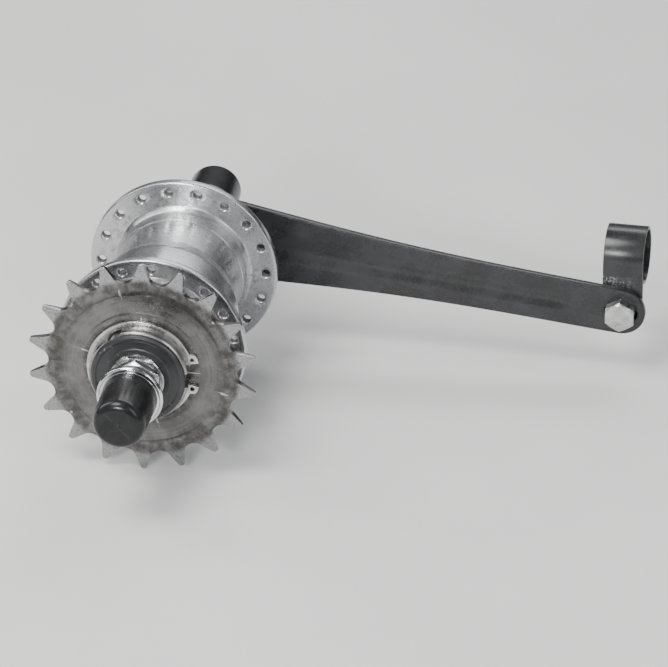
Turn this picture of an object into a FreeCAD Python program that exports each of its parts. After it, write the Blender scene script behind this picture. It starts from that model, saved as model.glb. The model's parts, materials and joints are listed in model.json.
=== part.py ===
import FreeCAD, Part
import math
import os
import Sketcher

# Rear bicycle hub gear: automatic two-speed planetary gear with a back-pedal
# brake.  The axle runs along Y, the sprocket side (right) is -Y, the bicycle's
# front is +X and up is +Z.  The origin is on the axle midway between the locknuts.
# It stands in the upper gear: flyweights out, ring gear pawls in the shell.
#
# In the names, _r is a radius, _t a thickness, _n a count, _af a width across
# flats, and _y0 and _y1 are the -Y and +Y stations of a piece.

doc = FreeCAD.newDocument("hub_gear")
sheet = doc.addObject("Spreadsheet::Sheet", "dims")

# (alias, value): millimetres, degrees or counts
DIMS = [
    # axle and its ends; half_old is half the distance over the locknuts
    ("half_old", 59.0), ("axle_r", 5.25), ("axle_half", 81.0), ("thread_fit", 0.02),
    ("end_gap", 6.0), ("washer_r", 11.5), ("washer_t", 1.8), ("axle_nut_af", 15.0),
    ("axle_nut_len", 9.0), ("cap_len", 20.0), ("cap_base_r", 9.6), ("cap_end_r", 9.0),
    ("cap_bore_r", 8.75), ("cap_shoulder_r", 3.4), ("cap_end_wall", 2.2),
    ("locknut_af", 17.0), ("locknut_t", 2.9), ("lockwasher_t", 1.2), ("lockwasher_r", 8.6),
    # balls; each pitch is the radius of the circle of ball centres
    ("ball_r", 2.38), ("race_r", 2.42),
    ("drv_ball_pitch", 11.0), ("drv_ball_y", -46.0), ("drv_ball_n", 10),
    ("right_ball_pitch", 17.6), ("right_ball_y", -36.4), ("right_ball_n", 14),
    ("left_ball_pitch", 15.2), ("left_ball_y", 45.0), ("left_ball_n", 12),
    # shell
    ("flange_y", 28.0), ("flange_t", 3.2), ("flange_r", 33.0), ("spoke_pcr", 29.0),
    ("spoke_hole_r", 1.45), ("spokes_side", 18), ("shell_right_y", -41.0),
    ("shell_left_y", 48.0), ("barrel_r", 26.0), ("barrel_left_r", 22.5), ("mouth_r", 24.0),
    ("gear_bore_r", 23.7), ("drum_r", 19.5), ("left_seat_r", 19.9),
    # gears
    ("gear_module", 0.6), ("sun_teeth", 24), ("planet_teeth", 21), ("ring_teeth", 66),
    ("planet_n", 3), ("centre_dist", 13.5), ("gear_play", 0.04), ("press_angle", 20.0),
    ("planet_y0", -19.5), ("planet_y1", -8.0), ("pin_r", 2.25), ("pin_play", 0.05),
    # driver and sprocket
    ("driver_y0", -52.0), ("driver_y1", -22.05), ("driver_seat_r", 17.2),
    ("driver_body_r", 14.6), ("shoulder_r", 20.5), ("sprocket_y", -44.5),
    ("sprocket_t", 2.9), ("sprocket_teeth", 18), ("chain_pitch", 12.7), ("roller_dia", 7.75),
    # ratchet and flyweights
    ("ratchet_n", 22), ("ratchet_tip_r", 21.3), ("ratchet_root_r", 22.5),
    ("pawl_pivot_r", 18.6), ("pawl_pin_r", 1.2), ("pawl_y0", -29.8), ("pawl_y1", -25.9),
    ("weight_pivot_r", 20.5), ("weight_pin_r", 1.0), ("weight_out_r", 22.3),
    ("weight_in_r", 18.7), ("weight_span", 80.0), ("weight_y0", -24.4), ("weight_y1", -20.2),
    # roller clutch
    ("clutch_roller_r", 2.5), ("clutch_roller_len", 8.0), ("clutch_pitch", 16.9),
    ("clutch_n", 5),
    # brake; cone_taper is the loss of radius per millimetre along the axle
    ("shoe_out_r", 19.18), ("shoe_y0", 16.3), ("shoe_y1", 39.7), ("shoe_span", 106.0),
    ("cone_taper", 0.3), ("cone_big_r", 15.9), ("shoe_gap", 0.16), ("cone_len_y0", 8.0),
    # brake arm
    ("arm_y0", 50.95), ("arm_t", 2.6), ("arm_reach", 150.0), ("arm_drop", 16.5),
    ("arm_head_r", 16.0), ("arm_tip_r", 8.5), ("neck_r", 8.5), ("neck_flat", 7.2),
    ("clip_bore_r", 9.0), ("clip_t", 1.2), ("clip_w", 14.0), ("clip_bolt_r", 3.0),
    ("clip_bolt_af", 10.0), ("clip_y", 64.0),
]

# Angles about the axle run from +X towards +Z, in degrees.
PLANET_AT = [90.0, 210.0, 330.0]
PAWL_AT = [0.0, 180.0]
WEIGHT_AT = [50.0, 230.0]
SHOE_AT = [30.0, 150.0, 270.0]
LUG_COUNT = 3       # sprocket lugs in the driver
DOG_COUNT = 3       # carrier dogs in the driver


# ---------------------------------------------------------------- sizes
class Size:
    """A number kept together with the sheet expression that gives it."""

    def __init__(self, value, expression):
        self.value = float(value)
        self.text = expression

    def __add__(self, other):
        return Size(self.value + number(other), "(%s + %s)" % (self.text, text(other)))

    def __sub__(self, other):
        return Size(self.value - number(other), "(%s - %s)" % (self.text, text(other)))

    def __rsub__(self, other):
        return Size(number(other) - self.value, "(%s - %s)" % (text(other), self.text))

    def __mul__(self, other):
        return Size(self.value * number(other), "(%s * %s)" % (self.text, text(other)))

    def __rmul__(self, other):
        return Size(number(other) * self.value, "(%s * %s)" % (text(other), self.text))

    def __truediv__(self, other):
        return Size(self.value / number(other), "(%s / %s)" % (self.text, text(other)))

    def __neg__(self):
        return Size(-self.value, "(0 - %s)" % self.text)


def number(size):
    return size.value if isinstance(size, Size) else float(size)


def text(size):
    return size.text if isinstance(size, Size) else "%.6f" % float(size)


def ordered(first, second):
    return sorted((first, second), key=number)


def drive(thing, prop, size):
    """Bind a property to the sheet when the size comes from there."""
    if isinstance(size, Size):
        thing.setExpression(prop, size.text)


class Dims:
    """The driving dimensions, one Size per alias."""


dim = Dims()
for row, (alias, amount) in enumerate(DIMS, start=1):
    sheet.set("A%d" % row, alias)
    sheet.set("B%d" % row, "%g" % amount)
    sheet.setAlias("B%d" % row, alias)
    setattr(dim, alias, Size(amount, "dims.%s" % alias))
doc.recompute()

parts = []
Vector = FreeCAD.Vector


# ---------------------------------------------------------------- outlines
def polar(radius, deg):
    angle = math.radians(deg)
    return (radius * math.cos(angle), radius * math.sin(angle))


def arc(radius, start, end, steps, centre=(0.0, 0.0)):
    """Points along an arc between two angles in degrees."""
    points = []
    for i in range(steps + 1):
        x, z = polar(radius, start + (end - start) * i / steps)
        points.append((centre[0] + x, centre[1] + z))
    return points


def rotated(points, deg):
    cosine, sine = math.cos(math.radians(deg)), math.sin(math.radians(deg))
    return [(x * cosine - y * sine, x * sine + y * cosine) for x, y in points]


def rect(x0, x1, y0, y1):
    return [(x0, y0), (x1, y0), (x1, y1), (x0, y1)]


def hexagon(across_flats):
    return [(across_flats * x, across_flats * y)
            for x, y in (polar(CORNER_PER_FLATS, 60.0 * i + 30.0) for i in range(6))]


CORNER_PER_FLATS = 0.5 / math.cos(math.radians(30.0))


# ---------------------------------------------------------------- sketches
def origin(body, role):
    return [o for o in body.Origin.OriginFeatures if o.Role == role][0]


def new_sketch(body, name, plane, offset=0.0):
    sketch = body.newObject("Sketcher::SketchObject", name)
    sketch.AttachmentSupport = [(origin(body, plane), "")]
    sketch.MapMode = "FlatFace"
    sketch.AttachmentOffset = FreeCAD.Placement(Vector(0, 0, number(offset)),
                                                FreeCAD.Rotation())
    drive(sketch, "AttachmentOffset.Base.z", offset)
    return sketch


def bind(sketch, index, size):
    if isinstance(size, Size):
        name = "c%d" % index
        sketch.renameConstraint(index, name)
        sketch.setExpression(".Constraints." + name, size.text)


def put_point(sketch, geometry, point, x, y):
    """Dimension a point from the sketch origin, or hold it on an axis."""
    for kind, size, axis in (("DistanceX", x, -2), ("DistanceY", y, -1)):
        if abs(number(size)) < 1e-9:
            sketch.addConstraint(
                Sketcher.Constraint("PointOnObject", geometry, point, axis))
        else:
            index = sketch.addConstraint(
                Sketcher.Constraint(kind, -1, 1, geometry, point, number(size)))
            bind(sketch, index, size)


def free(points):
    """Drawer of a closed polygon without constraints."""
    def draw(sketch):
        corners = [Vector(number(x), number(y), 0) for x, y in points]
        sketch.addGeometry([Part.LineSegment(start, end) for start, end
                            in zip(corners, corners[1:] + corners[:1])], False)
    return draw


def held(points):
    """Drawer of a closed polygon with joined and dimensioned corners."""
    def draw(sketch):
        first = sketch.GeometryCount
        count = len(points)
        free(points)(sketch)
        sketch.addConstraint([
            Sketcher.Constraint("Coincident", first + i, 2, first + (i + 1) % count, 1)
            for i in range(count)])
        for i, (x, y) in enumerate(points):
            put_point(sketch, first + i, 1, x, y)
    return draw


def circle(x, y, radius):
    """Drawer of a dimensioned circle."""
    def draw(sketch):
        shape = Part.Circle(Vector(number(x), number(y), 0), Vector(0, 0, 1), number(radius))
        geometry = sketch.addGeometry(shape, False)
        index = sketch.addConstraint(
            Sketcher.Constraint("Radius", geometry, number(radius)))
        bind(sketch, index, radius)
        put_point(sketch, geometry, 3, x, y)
    return draw


# ---------------------------------------------------------------- features
def new_body(label):
    body = doc.addObject("PartDesign::Body", label)
    body.Label = label
    parts.append(body)
    return body


def spin(kind, body, name, drawer, angle=360.0):
    """Revolution or Groove about the axle of a profile in (radius, y)."""
    sketch = new_sketch(body, name + "_profile", "XY_Plane")
    drawer(sketch)
    feature = body.newObject("PartDesign::" + kind, name)
    feature.Profile = (sketch, [""])
    feature.ReferenceAxis = (sketch, ["V_Axis"])
    feature.Angle = number(angle)
    drive(feature, "Angle", angle)
    return feature


def turned_body(label, points):
    """New body turned from a profile of (radius, y) points."""
    body = new_body(label)
    spin("Revolution", body, label + "_blank", held(points))
    return body


def groove(body, name, points):
    spin("Groove", body, name, held(points))


def ball_track(body, name, pitch, y):
    spin("Groove", body, name, circle(pitch, y, dim.race_r))


def wire_ring(label, radius, y, wire_r, angle):
    """Open ring of round wire about the axle, starting at +X."""
    spin("Revolution", new_body(label), label + "_wire", circle(radius, y, wire_r), angle)


def extrude(kind, body, name, drawer, plane, offset, length, reverse=False):
    """Pad or Pocket of an outline; a pocket has to remove material."""
    sketch = new_sketch(body, name + "_outline", plane, offset)
    drawer(sketch)
    cutting = kind == "Pocket"
    if cutting:
        doc.recompute()
        before = body.Shape.Volume
    feature = body.newObject("PartDesign::" + kind, name)
    feature.Profile = (sketch, [""])
    feature.Type = "Length"
    feature.Length = number(length)
    drive(feature, "Length", length)
    feature.Reversed = reverse
    if cutting:
        doc.recompute()
        if not body.Shape.Volume < before - 1e-6:
            raise RuntimeError("pocket cut nothing: " + name)
    return feature


# The XZ sketches hold (x, z) points and their normal is -Y.
def pad(body, name, drawer, y0, y1):
    """Pad between two stations along the axle."""
    return extrude("Pad", body, name, drawer, "XZ_Plane", -y1, y1 - y0)


def pocket(body, name, drawer, y0, y1):
    """Cut between two stations along the axle."""
    return extrude("Pocket", body, name, drawer, "XZ_Plane", -y0, y1 - y0)


def around(body, feature, count):
    """Repeat a feature evenly about the axle."""
    pattern = body.newObject("PartDesign::PolarPattern", feature.Name + "_ring")
    pattern.Originals = [feature]
    pattern.Axis = (origin(body, "Y_Axis"), [""])
    pattern.Angle = 360.0
    pattern.Occurrences = int(number(count))
    drive(pattern, "Occurrences", count)
    body.Tip = pattern


def ring_edges(shape, wanted, tolerance=0.02):
    """Names of circular edges about the axle at the given (radius, y)."""
    names = []
    for i, edge in enumerate(shape.Edges):
        curve = edge.Curve
        if curve.TypeId != "Part::GeomCircle":
            continue
        if abs(curve.Center.x) > 1e-4 or abs(curve.Center.z) > 1e-4:
            continue
        if any(abs(curve.Radius - number(radius)) < tolerance
               and abs(curve.Center.y - number(y)) < tolerance for radius, y in wanted):
            names.append("Edge%d" % (i + 1))
    return names


def soften(body, name, wanted, radius):
    """Fillet the circular edges at the given (radius, y)."""
    doc.recompute()
    base = body.Tip
    names = ring_edges(base.Shape, wanted)
    if not names:
        raise RuntimeError("no edges for " + body.Label)
    fillet = body.newObject("PartDesign::Fillet", name)
    fillet.Base = (base, names)
    fillet.Radius = number(radius)
    drive(fillet, "Radius", radius)
    body.Tip = fillet
    doc.recompute()


# ---------------------------------------------------------------- repeated pieces
def place_round(thing, radius, deg, y, rotation=FreeCAD.Rotation()):
    """Place an object at a radius and angle about the axle."""
    cosine, sine = math.cos(math.radians(deg)), math.sin(math.radians(deg))
    thing.Placement = FreeCAD.Placement(
        Vector(radius.value * cosine, number(y), radius.value * sine), rotation)
    thing.setExpression("Placement.Base.x", "%s * %.9f" % (radius.text, cosine))
    drive(thing, "Placement.Base.y", y)
    thing.setExpression("Placement.Base.z", "%s * %.9f" % (radius.text, sine))


def compound(label, members):
    group = doc.addObject("Part::Compound", label)
    group.Label = label
    group.Links = members
    parts.append(group)


def balls(label, count, pitch, y):
    members = []
    for i in range(int(count.value)):
        ball = doc.addObject("Part::Sphere", "%s_%02d" % (label, i + 1))
        ball.Radius = dim.ball_r.value
        drive(ball, "Radius", dim.ball_r)
        place_round(ball, pitch, 360.0 * i / count.value, y)
        members.append(ball)
    compound(label, members)


def rods(label, angles, pitch, radius, y0, y1):
    """Separate round pins or rollers parallel to the axle, in one part."""
    members = []
    length = y1 - y0
    for i, at in enumerate(angles):
        rod = doc.addObject("Part::Cylinder", "%s_%02d" % (label, i + 1))
        rod.Radius = number(radius)
        rod.Height = number(length)
        drive(rod, "Radius", radius)
        drive(rod, "Height", length)
        place_round(rod, pitch, at, y0, FreeCAD.Rotation(Vector(1, 0, 0), -90))
        members.append(rod)
    compound(label, members)


def crown_cage(label, count, pitch, ball_y, side, ring_in, ring_out, ring_off):
    """Ball retainer: a thin band beside the balls with a finger in each gap.

    side is the direction from balls to band; ring_in and ring_out are the band's
    radii beyond the ball pitch, and ring_off its distance from the ball centres.
    """
    band_t = 1.0
    finger_past = 0.5
    finger_half_w = 0.6
    inner = pitch + ring_in
    lo, hi = ordered(ball_y + side * ring_off, ball_y + side * (ring_off + band_t))
    body = turned_body(label, rect(inner, pitch + ring_out, lo, hi))
    lo, hi = ordered(ball_y + side * (ring_off + band_t / 2.0),
                     ball_y + side * -finger_past)
    finger = rect(inner.value + 0.12, inner.value + 0.9, -finger_half_w, finger_half_w)
    mid_gap = 180.0 / count.value
    around(body, pad(body, label + "_finger", free(rotated(finger, mid_gap)), lo, hi), count)


def nut(label, across_flats, y0, y1):
    """Hexagon nut on the axle, corners turned to a cone at both faces."""
    body = new_body(label)
    pad(body, label + "_hex", held(hexagon(across_flats)), y0, y1)
    pocket(body, label + "_bore", circle(0, 0, thread_bore), y0 - 0.5, y1 + 0.5)
    corner = across_flats * CORNER_PER_FLATS
    flat = across_flats * 0.5
    for end, face, inward in (("a", y0, 1.0), ("b", y1, -1.0)):
        beyond = face + inward * -0.1
        groove(body, label + "_corner_" + end, [
            (flat - 0.25, beyond), (corner + 0.6, beyond),
            (corner + 0.6, face + inward * 0.65)])


def cut_flats(body, name, near, depth, y0, y1):
    """Cut two flats facing +Z and -Z, at the distance near from the axle."""
    far = near + depth
    for end, z0, z1 in (("a", near, far), ("b", -far, -near)):
        pocket(body, name + "_" + end, held(rect(-12.0, 12.0, z0, z1)), y0, y1)


def gear_radii(teeth, outward=1.0):
    """Tip and root radius; outward is -1 for internal teeth."""
    pitch_r = (teeth * dim.gear_module) / 2.0
    return (pitch_r + dim.gear_module * outward,
            pitch_r - dim.gear_module * (1.25 * outward))


def involute(base_r, radius):
    angle = math.acos(min(1.0, base_r / radius))
    return math.tan(angle) - angle


def gear_space(teeth, tip_r, root_r, internal):
    """One involute tooth space centred on angle 0, open past the tip circle."""
    pitch_r = dim.gear_module.value * teeth / 2.0
    base_r = pitch_r * math.cos(math.radians(dim.press_angle.value))
    arc_width = math.pi * dim.gear_module.value / 2.0 + dim.gear_play.value
    half_space = arc_width / (2.0 * pitch_r)
    at_pitch = involute(base_r, pitch_r)
    start, end = (tip_r, root_r) if internal else (max(base_r, root_r), tip_r)
    radii = [start + (end - start) * i / 5.0 for i in range(6)]
    # flank points are (radius, half angle in radians)
    if internal:
        flank = [(tip_r - 0.6, half_space + at_pitch - involute(base_r, tip_r) + 0.01)]
        flank += [(r, half_space + at_pitch - involute(base_r, r)) for r in radii]
    else:
        flank = []
        if root_r < base_r:
            flank.append((root_r, half_space - at_pitch))
        flank += [(r, half_space - at_pitch + involute(base_r, r)) for r in radii]
        flank.append((tip_r + 0.6, flank[-1][1] + 0.03))
    upper = [(r * math.cos(a), r * math.sin(a)) for r, a in flank]
    return upper + [(x, -y) for x, y in reversed(upper)]


def cut_teeth(body, name, teeth, tip_r, root_r, at, y0, y1, internal=False):
    """Cut a ring of tooth spaces, one of them centred on the angle at."""
    space = gear_space(teeth.value, tip_r.value, root_r.value, internal)
    around(body, pocket(body, name, free(rotated(space, at)), y0, y1), teeth)


# ---------------------------------------------------------------- axle
locknut_out = dim.half_old
locknut_in = dim.half_old - dim.locknut_t
thread_bore = dim.axle_r + dim.thread_fit

# axle with the sun gear cut in one piece with it
axle_r, axle_half = dim.axle_r, dim.axle_half
sun_tip, sun_root = gear_radii(dim.sun_teeth)
body = turned_body("axle", [
    (0, -axle_half), (axle_r - 0.7, -axle_half), (axle_r, -axle_half + 0.7),
    (axle_r, -20.6), (sun_root, -19.8), (sun_tip, -19.8), (sun_tip, -7.6),
    (sun_root, -7.6), (axle_r, -6.9), (axle_r, axle_half - 0.7),
    (axle_r - 0.7, axle_half), (0, axle_half)])
cut_teeth(body, "sun_space", dim.sun_teeth, sun_tip, sun_root,
          180.0 / dim.sun_teeth.value, -19.81, -7.59)

# ---------------------------------------------------------------- right side, fixed parts
drv_pitch, drv_y = dim.drv_ball_pitch, dim.drv_ball_y
body = turned_body("right_cone", [
    (thread_bore, -54.6), (8.9, -54.6), (9.5, -54.1), (9.5, -52.2), (10.9, -52.2),
    (10.9, drv_y), (9.0, drv_y), (9.0, -44.0), (8.5, -43.5), (thread_bore, -43.5)])
ball_track(body, "cone_race", drv_pitch, drv_y)
cut_flats(body, "cone_flat", 7.5, 4.5, -55.0, -53.55)

turned_body("right_dust_cap", [
    (9.55, -53.4), (15.6, -53.4), (16.4, -52.9), (16.4, -52.25), (15.4, -52.25),
    (15.4, -52.6), (9.55, -52.6)])

lock_washer_y0 = -locknut_in + 0.05
turned_body("right_lock_washer", rect(thread_bore, dim.lockwasher_r, lock_washer_y0,
                                      lock_washer_y0 + dim.lockwasher_t))

nut("right_locknut", dim.locknut_af, -locknut_out, -locknut_in)

# ---------------------------------------------------------------- axle ends
washer_in = locknut_out + dim.end_gap
washer_out = washer_in + dim.washer_t
nut_in = washer_out + 0.05
cap_open = washer_out + 0.1
cap_end = cap_open + dim.cap_len
cap_floor = cap_end - dim.cap_end_wall
washer_r, cap_bore = dim.washer_r, dim.cap_bore_r
for name, side in (("right", -1.0), ("left", 1.0)):
    lo, hi = ordered(washer_in * side, washer_out * side)
    turned_body(name + "_axle_washer", [
        (thread_bore + 0.1, lo), (washer_r - 0.35, lo), (washer_r, lo + 0.35),
        (washer_r, hi - 0.35), (washer_r - 0.35, hi), (thread_bore + 0.1, hi)])

    lo, hi = ordered(nut_in * side, (nut_in + dim.axle_nut_len) * side)
    nut(name + "_axle_nut", dim.axle_nut_af, lo, hi)

    # closed cap pushed over the nut
    body = turned_body(name + "_nut_cap", [
        (0, cap_end * side), (dim.cap_end_r, cap_end * side),
        (dim.cap_base_r, cap_open * side), (cap_bore, cap_open * side),
        (cap_bore, (cap_open + 10.0) * side), (cap_bore - 0.3, (cap_open + 14.0) * side),
        (cap_bore - 1.6, cap_floor * side), (0, cap_floor * side)])
    soften(body, name + "_cap_round", [(dim.cap_end_r, cap_end * side)],
           dim.cap_shoulder_r)

# ---------------------------------------------------------------- driver and sprocket
driver_y0, driver_y1 = dim.driver_y0, dim.driver_y1
seat_r, driver_r, shoulder_r = dim.driver_seat_r, dim.driver_body_r, dim.shoulder_r
right_pitch, right_y = dim.right_ball_pitch, dim.right_ball_y
body = turned_body("driver", [
    (12.9, driver_y0), (seat_r - 0.5, driver_y0), (seat_r, driver_y0 + 0.5),
    (seat_r, -43.0), (shoulder_r, -43.0), (shoulder_r, -41.6), (17.5, -41.6),
    (17.4, -40.2), (17.4, right_y - 0.8), (driver_r + 0.6, right_y),
    (driver_r + 0.6, right_y + 3.0), (driver_r, right_y + 3.6), (driver_r, driver_y1),
    (10.2, driver_y1), (10.2, -24.6), (6.0, -24.6), (6.0, -43.0), (9.6, -43.0),
    (9.6, drv_y), (12.9, drv_y)])
ball_track(body, "driver_inner_race", drv_pitch, drv_y)
ball_track(body, "driver_outer_race", right_pitch, right_y)
groove(body, "snap_groove", rect(16.4, 18.0, -47.35, -46.05))
slot = pocket(body, "lug_slot", held(rect(15.9, 18.5, -2.5, 2.5)), driver_y0 - 0.5, -43.0)
around(body, slot, LUG_COUNT)
slot = pocket(body, "dog_slot", held(rect(9.0, 16.0, -3.0, 3.0)), -24.6, driver_y1 + 0.5)
around(body, slot, DOG_COUNT)

# sprocket: its edge is bevelled beyond bevel_r, and round seats cut the teeth
teeth = dim.sprocket_teeth.value
chain_r = dim.chain_pitch.value / (2.0 * math.sin(math.pi / teeth))
roller_seat_r = dim.roller_dia.value / 2.0 + 0.12
sprocket_r = chain_r + 0.42 * dim.roller_dia.value
bevel_r = 31.0
sprocket_y0 = dim.sprocket_y - dim.sprocket_t / 2.0
sprocket_y1 = dim.sprocket_y + dim.sprocket_t / 2.0
body = turned_body("sprocket", [
    (17.25, sprocket_y0), (bevel_r, sprocket_y0), (sprocket_r, sprocket_y0 + 0.75),
    (sprocket_r, sprocket_y1 - 0.75), (bevel_r, sprocket_y1), (17.25, sprocket_y1)])
gap_half = 180.0 / teeth - math.degrees(0.9 / sprocket_r)
gap = arc(roller_seat_r, 118.0, 242.0, 6, (chain_r, 0.0)) + [
    polar(sprocket_r, -gap_half), polar(sprocket_r + 1.5, -gap_half),
    polar(sprocket_r + 1.5, gap_half), polar(sprocket_r, gap_half)]
tooth_gap = pocket(body, "tooth_gap", free(gap), sprocket_y0 - 0.5, sprocket_y1 + 0.5)
around(body, tooth_gap, dim.sprocket_teeth)
lug = pad(body, "drive_lug", held(rect(16.0, 18.0, -2.42, 2.42)), sprocket_y0, sprocket_y1)
around(body, lug, LUG_COUNT)

# snap ring, open towards +X
body = turned_body("sprocket_snap_ring", rect(16.5, 18.9, -47.3, -46.1))
pocket(body, "snap_mouth", held([(10.0, -3.4), (20.0, -5.4), (20.0, 5.4), (10.0, 3.4)]),
       -47.6, -45.8)

turned_body("shell_dust_ring", [
    (17.55, -41.55), (22.6, -41.55), (23.6, -41.0), (23.6, -40.3), (22.9, -40.3),
    (22.9, -40.75), (17.55, -40.75)])

balls("driver_balls", dim.drv_ball_n, drv_pitch, drv_y)
crown_cage("driver_ball_cage", dim.drv_ball_n, drv_pitch, drv_y, side=-1.0,
           ring_in=0.25, ring_out=1.5, ring_off=2.7)
balls("right_shell_balls", dim.right_ball_n, right_pitch, right_y)
crown_cage("right_ball_cage", dim.right_ball_n, right_pitch, right_y, side=-1.0,
           ring_in=0.3, ring_out=2.0, ring_off=2.55)

# ---------------------------------------------------------------- planet carrier and planets
ROLLER_AT = [360.0 * i / dim.clutch_n.value for i in range(int(dim.clutch_n.value))]
CAM_Y0, CAM_Y1 = -4.2, 6.0
cam_r = 14.33
# one lobe of the clutch cam: (radius, angle from its roller)
LOBE = [(13.2, -16.0), (13.55, -6.0), (13.9, 2.0), (cam_r, 12.0), (cam_r, 20.0),
        (13.2, 30.0), (12.6, 43.0)]


def cam_outline(sketch):
    """All the metal outside the cam lobes, out to a clearing circle."""
    circle(0.0, 0.0, 15.2)(sketch)
    free([polar(radius, at + a) for at in ROLLER_AT for radius, a in LOBE])(sketch)


body = turned_body("planet_carrier", [
    (8.1, -22.0), (16.2, -22.0), (16.2, -19.7), (18.8, -19.7), (18.8, CAM_Y0),
    (cam_r, CAM_Y0), (cam_r, CAM_Y1), (9.0, CAM_Y1), (9.0, 17.5), (8.5, 18.0),
    (5.8, 18.0), (5.8, -7.0), (8.1, -7.0)])
window = pocket(body, "planet_window", circle(0.0, dim.centre_dist, 7.2), -19.75, -7.7)
around(body, window, dim.planet_n)
hole = pocket(body, "pin_hole", circle(0.0, dim.centre_dist, dim.pin_r + 0.02), -22.5, -4.0)
around(body, hole, dim.planet_n)
pocket(body, "cam_faces", cam_outline, CAM_Y0, CAM_Y1)
dog = pad(body, "drive_dog", held(rect(10.9, 14.0, -2.92, 2.92)), -24.4, -21.5)
around(body, dog, DOG_COUNT)

rods("planet_pins", PLANET_AT, dim.centre_dist, dim.pin_r, -21.9, -4.3)

planet_tip, planet_root = gear_radii(dim.planet_teeth)
planet_bore = dim.pin_r + dim.pin_play
planet_y0, planet_y1 = dim.planet_y0, dim.planet_y1
for i, at in enumerate(PLANET_AT, start=1):
    body = turned_body("planet_gear_%d" % i, [
        (planet_bore, planet_y0), (planet_root - 0.4, planet_y0),
        (planet_tip, planet_y0 + 0.35), (planet_tip, planet_y1 - 0.35),
        (planet_root - 0.4, planet_y1), (planet_bore, planet_y1)])
    # a space faces the sun's tooth
    cut_teeth(body, "planet_space_%d" % i, dim.planet_teeth, planet_tip, planet_root,
              at + 180.0, planet_y0 - 0.1, planet_y1 + 0.1)
    place_round(body, dim.centre_dist, at, 0.0)

# ---------------------------------------------------------------- ring gear
ring_tip, ring_root = gear_radii(dim.ring_teeth, outward=-1.0)
pawl_pivot, weight_pivot = dim.pawl_pivot_r, dim.weight_pivot_r


def from_pivot(at, pivot_r, points):
    """Points given as (towards falling angle, outwards) from a pivot."""
    return rotated([(pivot_r + outward, -along) for along, outward in points], at)


body = turned_body("ring_gear", [
    (15.6, -31.5), (20.9, -31.5), (20.9, -25.6), (22.9, -25.6), (22.9, -7.0),
    (20.7, -7.0), (20.7, -7.5), (ring_tip, -7.5), (ring_tip, -19.8), (20.7, -19.8),
    (20.7, -24.6), (15.6, -24.6)])
cut_teeth(body, "ring_space", dim.ring_teeth, ring_tip, ring_root,
          180.0 / dim.ring_teeth.value, -19.81, -7.49, internal=True)
groove(body, "spring_recess", rect(19.0, 20.25, -31.6, -30.7))
PAWL_POCKET = [(-2.3, -2.6), (9.3, -2.6), (10.3, 4.3), (-2.3, 4.3)]
for i, at in enumerate(PAWL_AT, start=1):
    pocket(body, "pawl_pocket_%d" % i,
           free(from_pivot(at, pawl_pivot.value, PAWL_POCKET)), -29.9, -25.65)
    x, z = polar(pawl_pivot.value, at)
    pocket(body, "pawl_pin_hole_%d" % i, circle(x, z, dim.pawl_pin_r + 0.02), -30.65, -24.4)
for i, at in enumerate(WEIGHT_AT, start=1):
    window = arc(17.0, at - 8.0, at + 91.0, 14) + arc(23.6, at + 91.0, at - 8.0, 14)
    pocket(body, "weight_window_%d" % i, free(window), -24.6, -19.95)
    x, z = polar(weight_pivot.value, at)
    pocket(body, "weight_pin_hole_%d" % i, circle(x, z, dim.weight_pin_r + 0.02),
           -25.7, -24.4)

# ---------------------------------------------------------------- pawls and flyweights
rods("pawl_pins", PAWL_AT, pawl_pivot, dim.pawl_pin_r, -30.6, -24.7)
rods("flyweight_pins", WEIGHT_AT, weight_pivot, dim.weight_pin_r, -25.55, -20.3)

wire_ring("pawl_spring", 19.62, -31.15, wire_r=0.38, angle=325.0)
wire_ring("flyweight_spring", 17.6, -22.4, wire_r=0.4, angle=325.0)

# pawl from its rounded heel to the tip and back: (towards falling angle, outwards)
PAWL = [
    (-1.9, 0.0), (-1.65, 0.95), (-0.95, 1.65), (0.0, 1.9), (2.5, 2.0), (5.0, 1.88),
    (7.5, 2.13), (8.0, 2.11), (8.1, 0.9), (3.0, -1.4), (0.95, -1.7), (0.0, -1.9),
    (-0.95, -1.65), (-1.65, -0.95)]
for i, at in enumerate(PAWL_AT, start=1):
    body = new_body("pawl_%d" % i)
    pad(body, "pawl_body_%d" % i, free(from_pivot(at, pawl_pivot.value, PAWL)),
        dim.pawl_y0, dim.pawl_y1)
    x, z = polar(pawl_pivot.value, at)
    pocket(body, "pawl_eye_%d" % i, circle(x, z, dim.pawl_pin_r + 0.05),
           dim.pawl_y0 - 0.5, dim.pawl_y1 + 0.5)

for i, at in enumerate(WEIGHT_AT, start=1):
    body = new_body("flyweight_%d" % i)
    pivot = polar(weight_pivot.value, at)
    end = at + dim.weight_span.value
    outline = arc(1.8, at - 180.0, at, 6, pivot)
    outline += arc(dim.weight_out_r.value, at + 3.0, end, 16)
    outline += arc(dim.weight_in_r.value, end, at + 3.0, 16)
    pad(body, "weight_body_%d" % i, free(outline), dim.weight_y0, dim.weight_y1)
    # slot that lets the weight close in over the spring wire
    slot = [polar(18.2 + 2.2 * math.sin(math.radians(a)), at + a) for a in range(14, 84, 3)]
    slot += arc(17.9, at + 84.0, at + 15.0, 23)
    pocket(body, "spring_slot_%d" % i, free(slot), -22.95, -21.85)
    pocket(body, "weight_eye_%d" % i, circle(pivot[0], pivot[1], dim.weight_pin_r + 0.05),
           dim.weight_y0 - 0.5, dim.weight_y1 + 0.5)

# ---------------------------------------------------------------- shell
flange_r, half_flange = dim.flange_r, dim.flange_t / 2.0
barrel_r, left_r, mouth_r = dim.barrel_r, dim.barrel_left_r, dim.mouth_r
shell_y0, shell_y1 = dim.shell_right_y, dim.shell_left_y
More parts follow.
